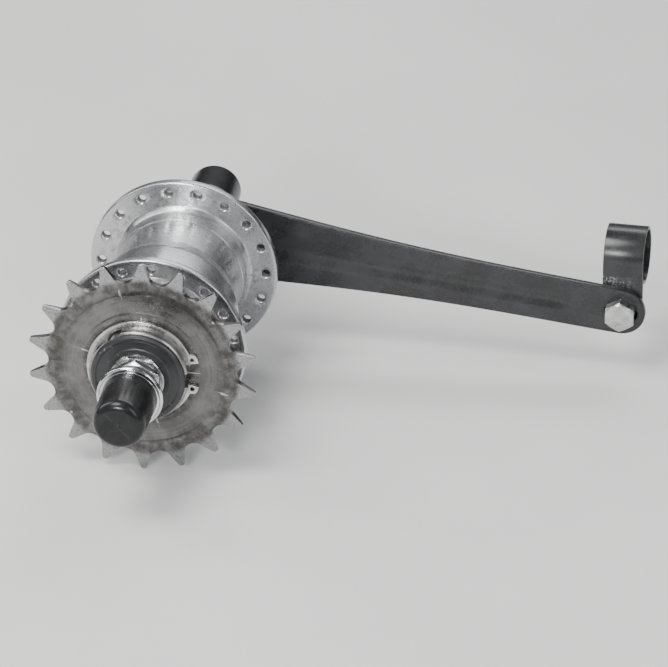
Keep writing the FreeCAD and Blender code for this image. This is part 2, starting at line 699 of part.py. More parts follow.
# faces of the right and the left flange
right_y0, right_y1 = -dim.flange_y - half_flange, -dim.flange_y + half_flange
left_y0, left_y1 = dim.flange_y - half_flange, dim.flange_y + half_flange
body = turned_body("hub_shell", [
    (mouth_r, shell_y0), (mouth_r + 1.6, shell_y0), (mouth_r + 2.2, shell_y0 + 0.8),
    (mouth_r + 2.2, shell_y0 + 4.0), (barrel_r + 0.4, shell_y0 + 5.2),
    (barrel_r + 0.4, right_y0), (flange_r, right_y0), (flange_r, right_y1),
    (barrel_r, right_y1), (barrel_r, -5.5), (left_r, 3.0), (left_r, left_y0),
    (flange_r, left_y0), (flange_r, left_y1), (left_r, left_y1),
    (left_r, shell_y1 - 3.0), (left_r - 0.7, shell_y1 - 2.6),
    (left_r - 0.7, shell_y1 - 0.5), (left_r - 1.2, shell_y1),
    (dim.left_seat_r, shell_y1), (dim.left_seat_r, 42.0), (dim.drum_r, 42.0),
    (dim.drum_r, -5.0), (dim.gear_bore_r, -5.6), (dim.gear_bore_r, -24.9),
    (mouth_r, -24.9)])
# the right flange's spoke holes stand half a spacing from the left ones
for name, y0, y1, at in (("right_spoke_hole", right_y0, right_y1,
                          180.0 / dim.spokes_side.value),
                         ("left_spoke_hole", left_y0, left_y1, 0.0)):
    x, z = polar(1.0, at)
    drawer = circle(dim.spoke_pcr * x, dim.spoke_pcr * z, dim.spoke_hole_r)
    around(body, pocket(body, name, drawer, y0 - 0.4, y1 + 0.4), dim.spokes_side)
soften(body, "flange_rim_round", [(flange_r, right_y0), (flange_r, right_y1),
                                  (flange_r, left_y0), (flange_r, left_y1)], 1.1)
soften(body, "flange_root_round", [(barrel_r, right_y1), (left_r, left_y0),
                                   (barrel_r + 0.4, right_y0), (left_r, left_y1)], 1.1)
soften(body, "barrel_blend", [(barrel_r, -5.5), (left_r, 3.0)], 5.0)

# right ball cup with the ratchet teeth inside its inboard end
tooth_tip, tooth_root = dim.ratchet_tip_r, dim.ratchet_root_r
body = turned_body("right_ball_cup", [
    (20.2, -40.0), (mouth_r - 0.02, -40.0), (mouth_r - 0.02, -25.85), (tooth_tip, -25.85),
    (tooth_tip, -32.3), (16.0, -32.3), (16.0, right_y), (20.2, right_y)])
ball_track(body, "cup_race", right_pitch, right_y)
wall_at = -23.3     # angle of the steep side of a ratchet gap
tip, root = tooth_tip.value, tooth_root.value
gap = [polar(tip - 1.0, wall_at), polar(root, wall_at), polar(root, wall_at + 3.0),
       polar(root, wall_at + 6.0), polar(tip - 0.01, wall_at + 14.0),
       polar(tip - 1.0, wall_at + 14.0)]
around(body, pocket(body, "ratchet_gap", free(gap), -32.3, -24.5), dim.ratchet_n)

left_pitch, left_y = dim.left_ball_pitch, dim.left_ball_y
left_cup_r = dim.left_seat_r - 0.02
body = turned_body("left_ball_cup", [
    (16.1, 42.05), (left_cup_r, 42.05), (left_cup_r, 47.9), (17.5, 47.9),
    (17.5, left_y), (16.1, left_y)])
ball_track(body, "left_cup_race", left_pitch, left_y)
balls("left_balls", dim.left_ball_n, left_pitch, left_y)
crown_cage("left_ball_cage", dim.left_ball_n, left_pitch, left_y, side=1.0,
           ring_in=0.25, ring_out=1.95, ring_off=2.6)

# ---------------------------------------------------------------- roller clutch
roller_y0 = -2.95
body = turned_body("roller_cage", rect(15.0, 18.6, -3.75, 5.85))
drawer = circle(dim.clutch_pitch, 0.0, dim.clutch_roller_r + 0.06)
around(body, pocket(body, "roller_window", drawer, -3.05, 5.15), dim.clutch_n)
rods("clutch_rollers", ROLLER_AT, dim.clutch_pitch, dim.clutch_roller_r, roller_y0,
     dim.clutch_roller_len + roller_y0)

# ---------------------------------------------------------------- brake
taper, cone_r, cone_y0 = dim.cone_taper, dim.cone_big_r, dim.cone_len_y0
cone_small_r = cone_r - taper * 6.0     # both cones taper over 6 mm
body = turned_body("brake_cone", [
    (9.06, cone_y0), (16.6, cone_y0), (17.2, cone_y0 + 0.6), (17.2, 15.0),
    (cone_r, 15.0), (cone_r, 16.0), (cone_small_r, 22.0), (9.06, 22.0)])
groove(body, "friction_groove", rect(15.7, 18.0, 10.4, 12.0))

wire_ring("friction_spring", 16.5, 11.2, wire_r=0.65, angle=335.0)

shoe_y0, shoe_y1, shoe_r = dim.shoe_y0, dim.shoe_y1, dim.shoe_out_r
shoe_bore = cone_r + dim.shoe_gap       # over the big ends of the cones
for i, at in enumerate(SHOE_AT, start=1):
    body = new_body("brake_shoe_%d" % i)
    sector = spin("Revolution", body, "shoe_sector_%d" % i, held([
        (shoe_bore - taper * (shoe_y0 - 16.0), shoe_y0), (shoe_r - 0.4, shoe_y0),
        (shoe_r, shoe_y0 + 0.4), (shoe_r, 27.2), (shoe_r - 1.25, 27.2),
        (shoe_r - 1.25, 28.8), (shoe_r, 28.8), (shoe_r, shoe_y1 - 0.4),
        (shoe_r - 0.4, shoe_y1), (shoe_bore - taper * (40.0 - shoe_y1), shoe_y1),
        (shoe_bore - taper * 6.0, 34.0), (shoe_bore - taper * 6.0, 22.0)]), dim.shoe_span)
    sector.Midplane = True
    # the sector is centred on +X in its own body and turned about the axle
    body.Placement = FreeCAD.Placement(Vector(0, 0, 0),
                                       FreeCAD.Rotation(Vector(0, 1, 0), -at))

wire_ring("shoe_spring", shoe_r - 0.45, 28.0, wire_r=0.4, angle=350.0)

# fixed cone at the lever side, with the left ball race and the neck for the arm
cone_nose_r = cone_r - taper * 7.0
neck_y0, neck_y1 = 50.9, 53.45
body = turned_body("lever_cone", [
    (thread_bore, 33.0), (cone_nose_r - 0.3, 33.0), (cone_nose_r, 33.3),
    (cone_small_r, 34.0), (cone_r, 40.0), (cone_r, 40.5), (12.9, 41.5), (12.9, left_y),
    (15.1, left_y), (15.1, 48.5), (13.0, 48.5), (13.0, neck_y0), (dim.neck_r, neck_y0),
    (dim.neck_r, neck_y1), (thread_bore, neck_y1)])
ball_track(body, "lever_race", left_pitch, left_y)
cut_flats(body, "neck_flat", dim.neck_flat, 4.0, neck_y0, 54.0)
# keys standing in the gaps between the shoes
key = pad(body, "shoe_key", free(rotated(rect(12.6, 18.3, -1.2, 1.2), 90.0)), 34.3, 39.4)
around(body, key, len(SHOE_AT))

turned_body("left_dust_cap", [
    (13.05, 49.1), (20.4, 49.1), (20.4, 48.35), (21.1, 48.35), (21.1, 49.4),
    (20.5, 50.1), (13.05, 50.1)])

# ---------------------------------------------------------------- brake arm and left nuts
# flat plate from a round head on the axle to a round tip, forward and down
arm_y0, arm_y1 = dim.arm_y0, dim.arm_y0 + dim.arm_t
tip_x, tip_z = dim.arm_reach, -dim.arm_drop
tip = (tip_x.value, tip_z.value)
head_r, tip_r = dim.arm_head_r.value, dim.arm_tip_r.value
arm_at = math.degrees(math.atan2(tip[1], tip[0]))
# angle from the arm's line to where its straight edges touch the head and tip
lean = math.degrees(math.acos((head_r - tip_r) / math.hypot(*tip)))
body = new_body("brake_arm")
outline = arc(head_r, arm_at + lean, arm_at + 360.0 - lean, 24)
outline += arc(tip_r, arm_at - lean, arm_at + lean, 12, tip)
pad(body, "arm_plate", free(outline), arm_y0, arm_y1)

# eye with two flats, fitting the neck of the lever cone
eye_r = dim.neck_r.value + 0.06
edge = math.degrees(math.asin((dim.neck_flat.value + 0.05) / eye_r))
eye = arc(eye_r, -edge, edge, 14) + arc(eye_r, 180.0 - edge, 180.0 + edge, 14)
pocket(body, "arm_eye", free(eye), arm_y0 - 0.5, arm_y1 + 0.5)

# slot for the clip bolt, lengthwise in the tip
slot = []
for shift, middle in ((2.5, arm_at), (-2.5, arm_at + 180.0)):
    x, z = polar(shift, arm_at)
    slot += arc(3.2, middle - 90.0, middle + 90.0, 8, (tip[0] + x, tip[1] + z))
pocket(body, "arm_slot", free(slot), arm_y0 - 0.5, arm_y1 + 0.5)

nut("arm_lock_nut", dim.locknut_af + 2.0, arm_y1 + 0.1, locknut_in - 0.05)
nut("left_locknut", dim.locknut_af, locknut_in, locknut_out)

# ---------------------------------------------------------------- arm clip
# band with its bore along X and two ears hanging below; YZ sketches hold (y, z)
clip_y, clip_bore, clip_t, clip_w = dim.clip_y, dim.clip_bore_r, dim.clip_t, dim.clip_w
clip_x0 = dim.arm_reach - clip_w / 2.0
ear_y0 = clip_y - clip_bore - clip_t
ear_y1 = clip_y - clip_bore + clip_t + 0.2
slit_y0 = clip_y - clip_bore
body = new_body("arm_clip")
for name, drawer in (
        ("clip_band", circle(clip_y, 0.0, clip_bore + clip_t)),
        ("clip_ears", held([(ear_y0, -24.5), (ear_y1, -24.5), (ear_y1, -3.0),
                            (ear_y0, 0.0)]))):
    extrude("Pad", body, name, drawer, "YZ_Plane", clip_x0, clip_w)
for name, drawer in (
        ("clip_bore", circle(clip_y, 0.0, clip_bore)),
        ("clip_slit", held(rect(slit_y0, slit_y0 + 0.2, -25.0, -1.0)))):
    extrude("Pocket", body, name, drawer, "YZ_Plane", clip_x0 - 0.5, clip_w + 1.0,
            reverse=True)
pocket(body, "clip_bolt_hole", circle(tip_x, tip_z, dim.clip_bolt_r + 0.2), 50.0, 60.0)

bolt_hex = [(tip_x + x, tip_z + z) for x, z in hexagon(dim.clip_bolt_af)]
body = new_body("clip_bolt")
pad(body, "bolt_head", held(bolt_hex), arm_y0 - 4.1, arm_y0 - 0.05)
pad(body, "bolt_shank", circle(tip_x, tip_z, dim.clip_bolt_r), arm_y0 - 1.0, clip_y - 1.2)

clip_nut_y0 = slit_y0 + clip_t + 0.25
body = new_body("clip_nut")
pad(body, "clip_nut_hex", held(bolt_hex), clip_nut_y0, clip_nut_y0 + 4.9)
pocket(body, "clip_nut_bore", circle(tip_x, tip_z, dim.clip_bolt_r + 0.02),
       clip_nut_y0 - 0.5, clip_nut_y0 + 5.4)

# ---------------------------------------------------------------- check and write
doc.recompute()
bad = [o.Name for o in doc.Objects if "Invalid" in o.State or "Error" in o.State]
for part in parts:
    if part.Shape.isNull() or not part.Shape.isValid() or not part.Shape.Solids:
        bad.append(part.Label + " shape")
if bad:
    raise RuntimeError("not sound: " + ", ".join(bad))
os.makedirs("parts", exist_ok=True)
for part in parts:
    part.Shape.exportStep("parts/%s.step" % part.Label)
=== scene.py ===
"""Bicycle rear hub with a coaster brake.

The axle lies along Y and is centred on the origin. The sprocket is on the right, at -Y, and
the brake arm on the left, at +Y. The arm reaches out along +X and slightly down. Z is up.
Parts are sized in millimetres; lights, floor and camera in metres.
"""
import bpy
import bmesh
import json
import math
import random
from functools import cached_property
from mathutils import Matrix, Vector, geometry


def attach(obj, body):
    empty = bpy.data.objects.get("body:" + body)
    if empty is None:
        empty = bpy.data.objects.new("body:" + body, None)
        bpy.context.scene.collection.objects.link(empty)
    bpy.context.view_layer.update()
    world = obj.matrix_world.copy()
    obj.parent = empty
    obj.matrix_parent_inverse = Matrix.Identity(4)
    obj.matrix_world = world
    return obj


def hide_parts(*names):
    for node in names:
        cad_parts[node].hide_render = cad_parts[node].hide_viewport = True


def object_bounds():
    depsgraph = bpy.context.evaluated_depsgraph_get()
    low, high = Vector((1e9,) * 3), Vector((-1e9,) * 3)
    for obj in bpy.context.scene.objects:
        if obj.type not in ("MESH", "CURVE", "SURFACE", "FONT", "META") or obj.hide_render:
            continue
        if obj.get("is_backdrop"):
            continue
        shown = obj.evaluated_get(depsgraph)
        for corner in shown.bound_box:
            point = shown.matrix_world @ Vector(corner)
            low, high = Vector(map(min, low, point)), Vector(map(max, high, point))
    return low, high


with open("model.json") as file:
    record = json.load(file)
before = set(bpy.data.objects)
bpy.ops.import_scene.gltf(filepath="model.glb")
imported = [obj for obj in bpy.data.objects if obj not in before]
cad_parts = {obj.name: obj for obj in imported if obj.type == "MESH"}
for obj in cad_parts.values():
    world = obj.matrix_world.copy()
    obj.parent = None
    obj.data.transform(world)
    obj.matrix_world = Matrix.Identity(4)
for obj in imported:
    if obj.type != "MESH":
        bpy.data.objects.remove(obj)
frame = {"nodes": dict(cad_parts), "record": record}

random.seed(7)
MM = 0.001
scene = bpy.context.scene


def plain_bounds(bounds):
    if isinstance(bounds, dict):
        return {key: plain_bounds(value) for key, value in bounds.items()}
    if isinstance(bounds, (int, float)):
        return float(bounds)
    return [plain_bounds(value) for value in bounds]


size_start = plain_bounds(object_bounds())

# ------------------------------------------------------------------ driving sizes
AXLE_END = 81.0           # half the axle's length
AXLE_BORE = 5.27          # bore radius of what sits on the axle thread

FLANGE_Y = 28.0           # middle of each spoke flange, either side of the origin
FLANGE_HALF = 1.6         # half its thickness
FLANGE_NEAR = FLANGE_Y - FLANGE_HALF
FLANGE_FAR = FLANGE_Y + FLANGE_HALF

BALL_ROW_Y = -46.0        # centre of the right ball row's races
BALL_ROW_R = 11.0
RACE = 2.42               # radius of every ball groove

EYE_X, EYE_Z = 150.0, -16.5    # centre of the brake arm's far end, and of the clip bolt


# ------------------------------------------------------------------ shader graph helpers
class Field:
    """A shader output that can be used in arithmetic."""

    def __init__(self, graph, socket):
        self.graph = graph
        self.socket = socket

    def __add__(self, other):
        return self.graph.math("ADD", self, other)

    def __radd__(self, other):
        return self.graph.math("ADD", other, self)

    def __sub__(self, other):
        return self.graph.math("SUBTRACT", self, other)

    def __rsub__(self, other):
        return self.graph.math("SUBTRACT", other, self)

    def __mul__(self, other):
        return self.graph.math("MULTIPLY", self, other)

    def __abs__(self):
        return self.graph.math("ABSOLUTE", self)

    def smooth(self, start, end, low=0.0, high=1.0):
        """Ease from low to high as this field goes from start to end."""
        return self.graph.field("MapRange", {0: self, 1: start, 2: end, 3: low, 4: high},
                                interpolation_type="SMOOTHSTEP")

    def peak(self, centre, half_width):
        """1 at the centre value, falling to 0 on both sides."""
        black, white = (0.0, 0.0, 0.0), (1.0, 1.0, 1.0)
        return self.graph.ramp(self, [(centre - half_width, black), (centre, white),
                                      (centre + half_width, black)])

    def blend(self, over, amount):
        """This colour with another laid over it."""
        return self.graph.mix(amount, self, over)


class Graph:
    """A node tree, built from empty."""

    def __init__(self, tree):
        self.tree = tree
        tree.nodes.clear()

    def put(self, socket, value):
        """Link a field, or set a colour or a number."""
        if isinstance(value, Field):
            self.tree.links.new(value.socket, socket)
        elif isinstance(value, (tuple, list)):
            socket.default_value = (*value, 1.0)
        else:
            socket.default_value = value

    def node(self, kind, inputs=(), **settings):
        made = self.tree.nodes.new("ShaderNode" + kind)
        for key, value in settings.items():
            setattr(made, key, value)
        for key, value in dict(inputs).items():
            self.put(made.inputs[key], value)
        return made

    def field(self, kind, inputs=(), output=0, **settings):
        return Field(self, self.node(kind, inputs, **settings).outputs[output])

    def math(self, operation, a, b=0.0, clamp=False):
        return self.field("Math", {0: a, 1: b}, operation=operation, use_clamp=clamp)

    def vector(self, x, y, z):
        return self.field("CombineXYZ", {0: x, 1: y, 2: z})

    def components(self, vector):
        split = self.node("SeparateXYZ", {0: vector})
        return [Field(self, output) for output in split.outputs]

    def mix(self, amount, under, over):
        return self.field("Mix", {0: amount, 6: under, 7: over}, output=2, data_type="RGBA")

    def ramp(self, factor, stops):
        """Colour ramp; each stop is (position, (red, green, blue))."""
        made = self.node("ValToRGB", {0: factor})
        elements = made.color_ramp.elements
        while len(elements) < len(stops):
            elements.new(0.5)
        for element, (position, colour) in zip(elements, stops):
            element.position = position
            element.color = (*colour, 1.0)
        return Field(self, made.outputs[0])


class Material(Graph):
    """A principled material whose textures are laid out in millimetres about the axle."""

    def __init__(self, name):
        self.material = bpy.data.materials.new(name)
        self.material.use_nodes = True
        super().__init__(self.material.node_tree)
        self.output = self.node("OutputMaterial")
        self.principled = self.node("BsdfPrincipled")
        self.surface = Field(self, self.principled.outputs[0])
        self.put(self.output.inputs[0], self.surface)
        metres = self.field("TexCoord", output="Object")
        self.position = self.field("VectorMath", {0: metres, "Scale": 1 / MM}, operation="SCALE")
        self.x, self.y, self.z = self.components(self.position)

    @cached_property
    def radius(self):
        """Distance from the axle's line."""
        return self.math("SQRT", self.x * self.x + self.z * self.z)

    @cached_property
    def angle(self):
        """Angle about the axle's line."""
        return self.math("ARCTAN2", self.z, self.x)

    def noise(self, scale, detail=4.0, rough=0.6, at=None):
        return self.field("TexNoise", {"Vector": at or self.position, "Scale": scale,
                                       "Detail": detail, "Roughness": rough})

    def cells(self, scale):
        return self.field("TexVoronoi", {"Vector": self.position, "Scale": scale},
                          output="Distance")

    def edge(self, start, end):
        """High on outer edges, low in hollows."""
        return self.field("NewGeometry", output="Pointiness").smooth(start, end)

    def bump(self, height, strength, depth, under=None):
        inputs = {"Strength": strength, "Distance": depth * MM, "Height": height}
        if under is not None:
            inputs["Normal"] = under
        return self.field("Bump", inputs)

    def lathe_marks(self, per_mm=3.0, swirl=0.25):
        """Fine rings about the axle."""
        at = self.vector(self.radius * per_mm, self.y * per_mm, self.angle * swirl)
        return self.noise(scale=1.0, detail=3.0, at=at)

    def scratches(self, density=0.5, scale=1.0):
        """Fine hairline marks in several directions, 0 to 1."""
        total = None
        directions = ((0.05, 1.0, 0.8), (1.0, 0.06, 0.7), (0.7, 0.9, 0.05))
        for k, (along_x, along_y, along_z) in enumerate(directions):
            wobble = self.noise(scale=0.12 + 0.03 * k, detail=2.0, rough=0.55)
            squeezed = self.vector(self.x * along_x, self.y * along_y, self.z * along_z)
            at = self.field("VectorMath", {0: squeezed, 1: self.vector(wobble, wobble, wobble)},
                            operation="ADD")
            line = self.noise(scale=5.0 * scale + k, detail=2.0, rough=0.4, at=at)
            line = line.peak(centre=0.5, half_width=0.015 - 0.005 * density)
            gate = self.noise(scale=0.22 + 0.05 * k, detail=2.0, rough=0.55)
            part = line * gate.smooth(start=0.5, end=0.62)
            total = part if total is None else self.math("MAXIMUM", total, part)
        return total

    def turned(self, amount):
        """Draw highlights out across the lathe marks."""
        tangent = self.field("Tangent", direction_type="RADIAL", axis="Y")
        self.put(self.principled.inputs["Tangent"], tangent)
        self.put(self.principled.inputs["Anisotropic"], amount)
        self.put(self.principled.inputs["Anisotropic Rotation"], 0.25)

    def finish(self, colour, rough, metallic, normal, specular=None):
        values = {"Base Color": colour, "Roughness": rough, "Metallic": metallic,
                  "Normal": normal}
        if specular is not None:
            values["Specular IOR Level"] = specular
        for key, value in values.items():
            self.put(self.principled.inputs[key], value)
        return self.material


def vary(value, field, by, clamp=False):
    """Shift a value up and down with a field that swings about 0.5."""
    return field.graph.math("ADD", value, (field - 0.5) * by, clamp)


def scaled(colour, factor, lift=0.0):
    return [min(1.0, channel * factor + lift) for channel in colour]


# ------------------------------------------------------------------ materials
def metal(name, base, rough, lathe=0.0, grain=0.3, grime_and_shade=0.35, wear=0.3,
          tint=(0.10, 0.085, 0.07)):
    """Bare metal; tint colours both its grime and the painted shade in its hollows, and lathe is
    the strength of turning marks.
    """
    net = Material(name)
    low = net.noise(scale=0.11)
    mid = net.noise(scale=0.9)
    fine = net.noise(scale=9.0, detail=3.0, rough=0.5)
    hair = net.scratches()
    stain = net.noise(scale=0.33, detail=5.0, rough=0.7)
    dirt = stain.smooth(start=0.5, end=0.72) * grime_and_shade
    # painted shade: hollows, where pointiness is low, are darkened with the grime tint; from here
    # dirt holds both grime and painted shade
    hollow_shade = 1.0 - net.edge(start=0.40, end=0.50)
    dirt = net.math("MAXIMUM", dirt, hollow_shade * (grime_and_shade * 0.9))
    worn = net.edge(start=0.52, end=0.60) * wear

    colour = net.mix(low.smooth(start=0.38, end=0.64), under=scaled(base, 0.72),
                     over=scaled(base, 1.13))
    colour = colour.blend(over=scaled(base, 0.8), amount=mid.smooth(start=0.45, end=0.7) * 0.24)
    colour = colour.blend(over=scaled(base, 1.3), amount=hair * 0.35)
    # dirt lays the tint over grime stains and over the painted shade in hollows
    colour = colour.blend(over=tint, amount=dirt)
    colour = colour.blend(over=scaled(base, 1.35, lift=0.05), amount=worn)

    rough = vary(rough, low, by=0.35)
    rough = vary(rough, mid, by=0.16)
    rough = rough + dirt * 0.35
    rough = net.math("ADD", rough, hair * 0.08, clamp=True)
    rough = net.math("MAXIMUM", rough, 0.06)
    normal = net.bump(fine, strength=0.25 * grain, depth=0.02)
    if lathe:
        net.turned(amount=0.45)
        marks = net.lathe_marks()
        normal = net.bump(marks, strength=0.5 * lathe, depth=0.03, under=normal)
        rough = vary(rough, marks, by=0.16 * lathe, clamp=True)
    normal = net.bump(hair, strength=-0.15, depth=0.01, under=normal)
    return net.finish(colour, rough, metallic=1.0 - dirt * 0.75, normal=normal)


def cap_plastic():
    """Grained black plastic with dust, most of it on faces that look up."""
    net = Material("cap_moulded_black")
    grain = net.cells(scale=6.5)
    fine = net.noise(scale=14.0, detail=3.0)
    low = net.noise(scale=0.16)
    hair = net.scratches(density=0.8, scale=1.2)
    dust = net.noise(scale=1.7, detail=6.0, rough=0.75).smooth(start=0.54, end=0.80) * 0.14
    upward = net.components(net.field("NewGeometry", output="Normal"))[2]
    dust = dust * (0.35 + upward.smooth(start=0.1, end=0.9) * 0.65)
    worn = net.edge(start=0.51, end=0.56) * 0.30

    colour = net.mix(low.smooth(start=0.35, end=0.68), under=(0.0095, 0.0098, 0.0106),
                     over=(0.0165, 0.0168, 0.0178))
    colour = colour.blend(over=(0.16, 0.155, 0.145), amount=dust)
    colour = colour.blend(over=(0.10, 0.10, 0.105), amount=hair * 0.13)
    colour = colour.blend(over=(0.045, 0.045, 0.048), amount=worn)

    rough = vary(0.225, low, by=0.12)
    rough = net.math("ADD", rough, dust * 1.2, clamp=True)
    rough = rough - worn * 0.10
    normal = net.bump(grain, strength=0.10, depth=0.03)
    normal = net.bump(fine, strength=0.10, depth=0.012, under=normal)
    normal = net.bump(hair, strength=-0.2, depth=0.012, under=normal)
    return net.finish(colour, rough, metallic=0.0, normal=normal, specular=0.30)


def black_paint(name, base, rough, chip):
    """Black enamel with faint ripple, chipped to metal along its edges."""
    net = Material(name)
    low = net.noise(scale=0.09)
    ripple = net.noise(scale=2.2, detail=2.0, rough=0.4)
    fine = net.noise(scale=18.0, detail=3.0, rough=0.5)
    hair = net.scratches(density=0.6)
    dust = net.noise(scale=0.8, detail=6.0, rough=0.75).smooth(start=0.5, end=0.8) * 0.10
    patches = net.noise(scale=1.1, detail=5.0, rough=0.7).smooth(start=0.50, end=0.58)
    worn = net.edge(start=0.53, end=0.60) * patches * chip

    colour = net.mix(low.smooth(start=0.35, end=0.68), under=base, over=scaled(base, 1.8))
    colour = colour.blend(over=(0.15, 0.14, 0.125), amount=dust)
    colour = colour.blend(over=(0.42, 0.42, 0.43), amount=worn)
    colour = colour.blend(over=(0.11, 0.11, 0.11), amount=hair * 0.22)

    rough = vary(rough, low, by=0.16)
    rough = net.math("ADD", rough, dust * 1.6, clamp=True)
    normal = net.bump(ripple, strength=0.12, depth=0.05)
    normal = net.bump(fine, strength=0.08, depth=0.01, under=normal)
    normal = net.bump(worn, strength=-0.3, depth=0.03, under=normal)
    return net.finish(colour, rough, metallic=worn, normal=normal, specular=0.5)


def rubbed_bronze():
    net = Material("shoe_bronze")
    marks = net.lathe_marks(per_mm=4.0)
    low = net.noise(scale=0.2)
    dirt = net.noise(scale=0.6, detail=5.0, rough=0.7).smooth(start=0.5, end=0.75) * 0.6
    colour = net.mix(low.smooth(start=0.35, end=0.65), under=(0.30, 0.19, 0.09),
                     over=(0.55, 0.37, 0.18))
    colour = colour.blend(over=(0.05, 0.035, 0.02), amount=dirt)
    return net.finish(colour, rough=0.33 + marks * 0.2, metallic=1.0,
                      normal=net.bump(marks, strength=0.4, depth=0.03))


def shell_satin():
    """Turned and lacquered light alloy."""
    net = Material("shell_satin_alloy")
    marks = net.lathe_marks(per_mm=3.4, swirl=0.2)
    broad = net.lathe_marks(per_mm=0.9, swirl=0.12)
    low = net.noise(scale=0.05, detail=3.0, rough=0.5)
    mid = net.noise(scale=0.55, detail=5.0)
    fine = net.noise(scale=11.0, detail=3.0, rough=0.5)
    hair = net.scratches(density=0.6, scale=0.9)

    def gap(at):
        """Distance along the axle from the nearer of y = at and y = -at."""
        return abs(abs(net.y) - at)

    # grey film of road dust, thickest by the flange roots
    root_gap = net.math("MINIMUM", gap(FLANGE_Y - 2.4), gap(FLANGE_Y + 2.4))
    root = root_gap.smooth(start=2.6, end=0.1) * net.radius.smooth(start=30.5, end=26.5)
    film = net.noise(scale=0.5, detail=6.0, rough=0.7).smooth(start=0.44, end=0.74)
    dirt = net.math("MULTIPLY", film, 0.07 + root * 0.60, clamp=True)
    # painted shade in cuts and hollows, where pointiness is low; from here dirt holds road dust and
    # painted shade
    cut_shade = 1.0 - net.edge(start=0.42, end=0.50)
    dirt = net.math("MAXIMUM", dirt, cut_shade * 0.45)
    # painted shade within the flanges, on the walls of the spoke holes
    within_flange = net.math("LESS_THAN", gap(FLANGE_Y), 1.25)
    hole_wall_shade = within_flange * net.math("LESS_THAN", net.radius, 31.2)
    dirt = net.math("MAXIMUM", dirt, hole_wall_shade * 0.75)
    # dried water marks
    outline = net.cells(scale=0.30).peak(centre=0.19, half_width=0.03)
    gate = net.noise(scale=0.09, detail=2.0, rough=0.55).smooth(start=0.54, end=0.62)
    spots = outline * (gate * 0.12)
    worn = net.edge(start=0.53, end=0.60) * 0.35

    colour = net.mix(low.smooth(start=0.36, end=0.66), under=(0.50, 0.505, 0.515),
                     over=(0.575, 0.58, 0.59))
    colour = colour.blend(over=(0.63, 0.63, 0.64),
                          amount=broad.smooth(start=0.42, end=0.62) * 0.22)
    colour = colour.blend(over=(0.76, 0.76, 0.76), amount=hair * 0.25)
    # dirt lays dark road dust and the painted shade of cuts and spoke holes
    colour = colour.blend(over=(0.085, 0.078, 0.068), amount=dirt)
    colour = colour.blend(over=(0.78, 0.78, 0.76), amount=spots)
    colour = colour.blend(over=(0.78, 0.78, 0.79), amount=worn)

    rough = vary(0.27, low, by=0.14)
    rough = vary(rough, mid, by=0.09)
    rough = vary(rough, marks, by=0.14)
    rough = rough + dirt * 0.45
    rough = net.math("ADD", rough, spots * 0.6, clamp=True)
    normal = net.bump(marks, strength=0.30, depth=0.025)
    normal = net.bump(fine, strength=0.08, depth=0.012, under=normal)
    normal = net.bump(hair, strength=-0.15, depth=0.012, under=normal)
    net.turned(amount=0.55)
    return net.finish(colour, rough, metallic=1.0 - dirt * 0.8, normal=normal)


def threaded_steel():
    """Axle steel, dark in the thread roots."""
    net = Material("axle_threaded_steel")
    low = net.noise(scale=0.2)
    mid = net.noise(scale=2.4)
    marks = net.lathe_marks(per_mm=6.0)
    colour = net.mix(low.smooth(start=0.35, end=0.65), under=(0.30, 0.295, 0.285),
                     over=(0.50, 0.49, 0.475))
    colour = colour.blend(over=(0.055, 0.047, 0.038),
                          amount=net.radius.smooth(start=5.05, end=4.78))
    colour = colour.blend(over=(0.16, 0.12, 0.09), amount=mid.smooth(start=0.5, end=0.7) * 0.3)
    normal = net.bump(marks, strength=0.25, depth=0.02)
    normal = net.bump(mid, strength=0.2, depth=0.02, under=normal)
    metallic = net.radius.smooth(start=4.75, end=4.95, low=0.45, high=1.0)
    return net.finish(colour, rough=0.28 + mid * 0.25, metallic=metallic, normal=normal)


def sprocket_steel():
    """Stamped, hardened and blackened, worn bright where the chain runs."""
    net = Material("sprocket_stamped_steel")
    low = net.noise(scale=0.10)
    mid = net.noise(scale=0.9, detail=5.0, rough=0.65)
    fine = net.noise(scale=9.0, detail=3.0, rough=0.5)
    marks = net.lathe_marks(per_mm=2.4, swirl=0.6)
    hair = net.scratches(density=0.9, scale=0.8)
    radius = net.radius
    chain_track = radius.smooth(start=32.2, end=34.6)
    patches = net.noise(scale=1.3, detail=5.0, rough=0.7).smooth(start=0.30, end=0.55)
    bright = chain_track * patches
    # radial smears of chain oil
    smear = net.noise(scale=1.0, detail=5.0, rough=0.65,
                      at=net.vector(net.angle * 9.0, radius * 0.22, net.y))
    oil = radius.smooth(start=24.0, end=31.0) * radius.smooth(start=35.0, end=32.5)
    oil = oil * smear.smooth(start=0.36, end=0.62)
    seat_dirt = radius.smooth(start=21.5, end=19.2) * smear.smooth(start=0.35, end=0.6)
    dirt = net.math("MAXIMUM", oil * 0.75, seat_dirt * 0.7)
    # painted shade: hollows, where pointiness is low, are darkened with the oil colour; from here
    # dirt holds chain oil, seat dirt and painted shade
    hollow_shade = (1.0 - net.edge(start=0.42, end=0.50)) * 0.5
    dirt = net.math("MAXIMUM", dirt, hollow_shade)
    worn = net.edge(start=0.53, end=0.60) * 0.7

    colour = net.mix(low.smooth(start=0.35, end=0.65), under=(0.118, 0.115, 0.112),
                     over=(0.190, 0.187, 0.184))
    colour = colour.blend(over=(0.27, 0.27, 0.27),
                          amount=marks.smooth(start=0.45, end=0.65) * 0.25)
    colour = colour.blend(over=(0.36, 0.36, 0.365), amount=bright * 0.85)
    colour = colour.blend(over=(0.030, 0.024, 0.019), amount=dirt)
    colour = colour.blend(over=(0.40, 0.40, 0.40), amount=hair * 0.35)
    colour = colour.blend(over=(0.62, 0.62, 0.63), amount=worn)

    rough = vary(0.27, low, by=0.3)
    rough = vary(rough, mid, by=0.18)
    rough = rough - bright * 0.09
    rough = net.math("ADD", rough, dirt * 0.14, clamp=True)
    normal = net.bump(marks, strength=0.22, depth=0.03)
    normal = net.bump(fine, strength=0.16, depth=0.015, under=normal)
    normal = net.bump(mid, strength=0.12, depth=0.06, under=normal)
    return net.finish(colour, rough, metallic=1.0 - dirt * 0.5, normal=normal)


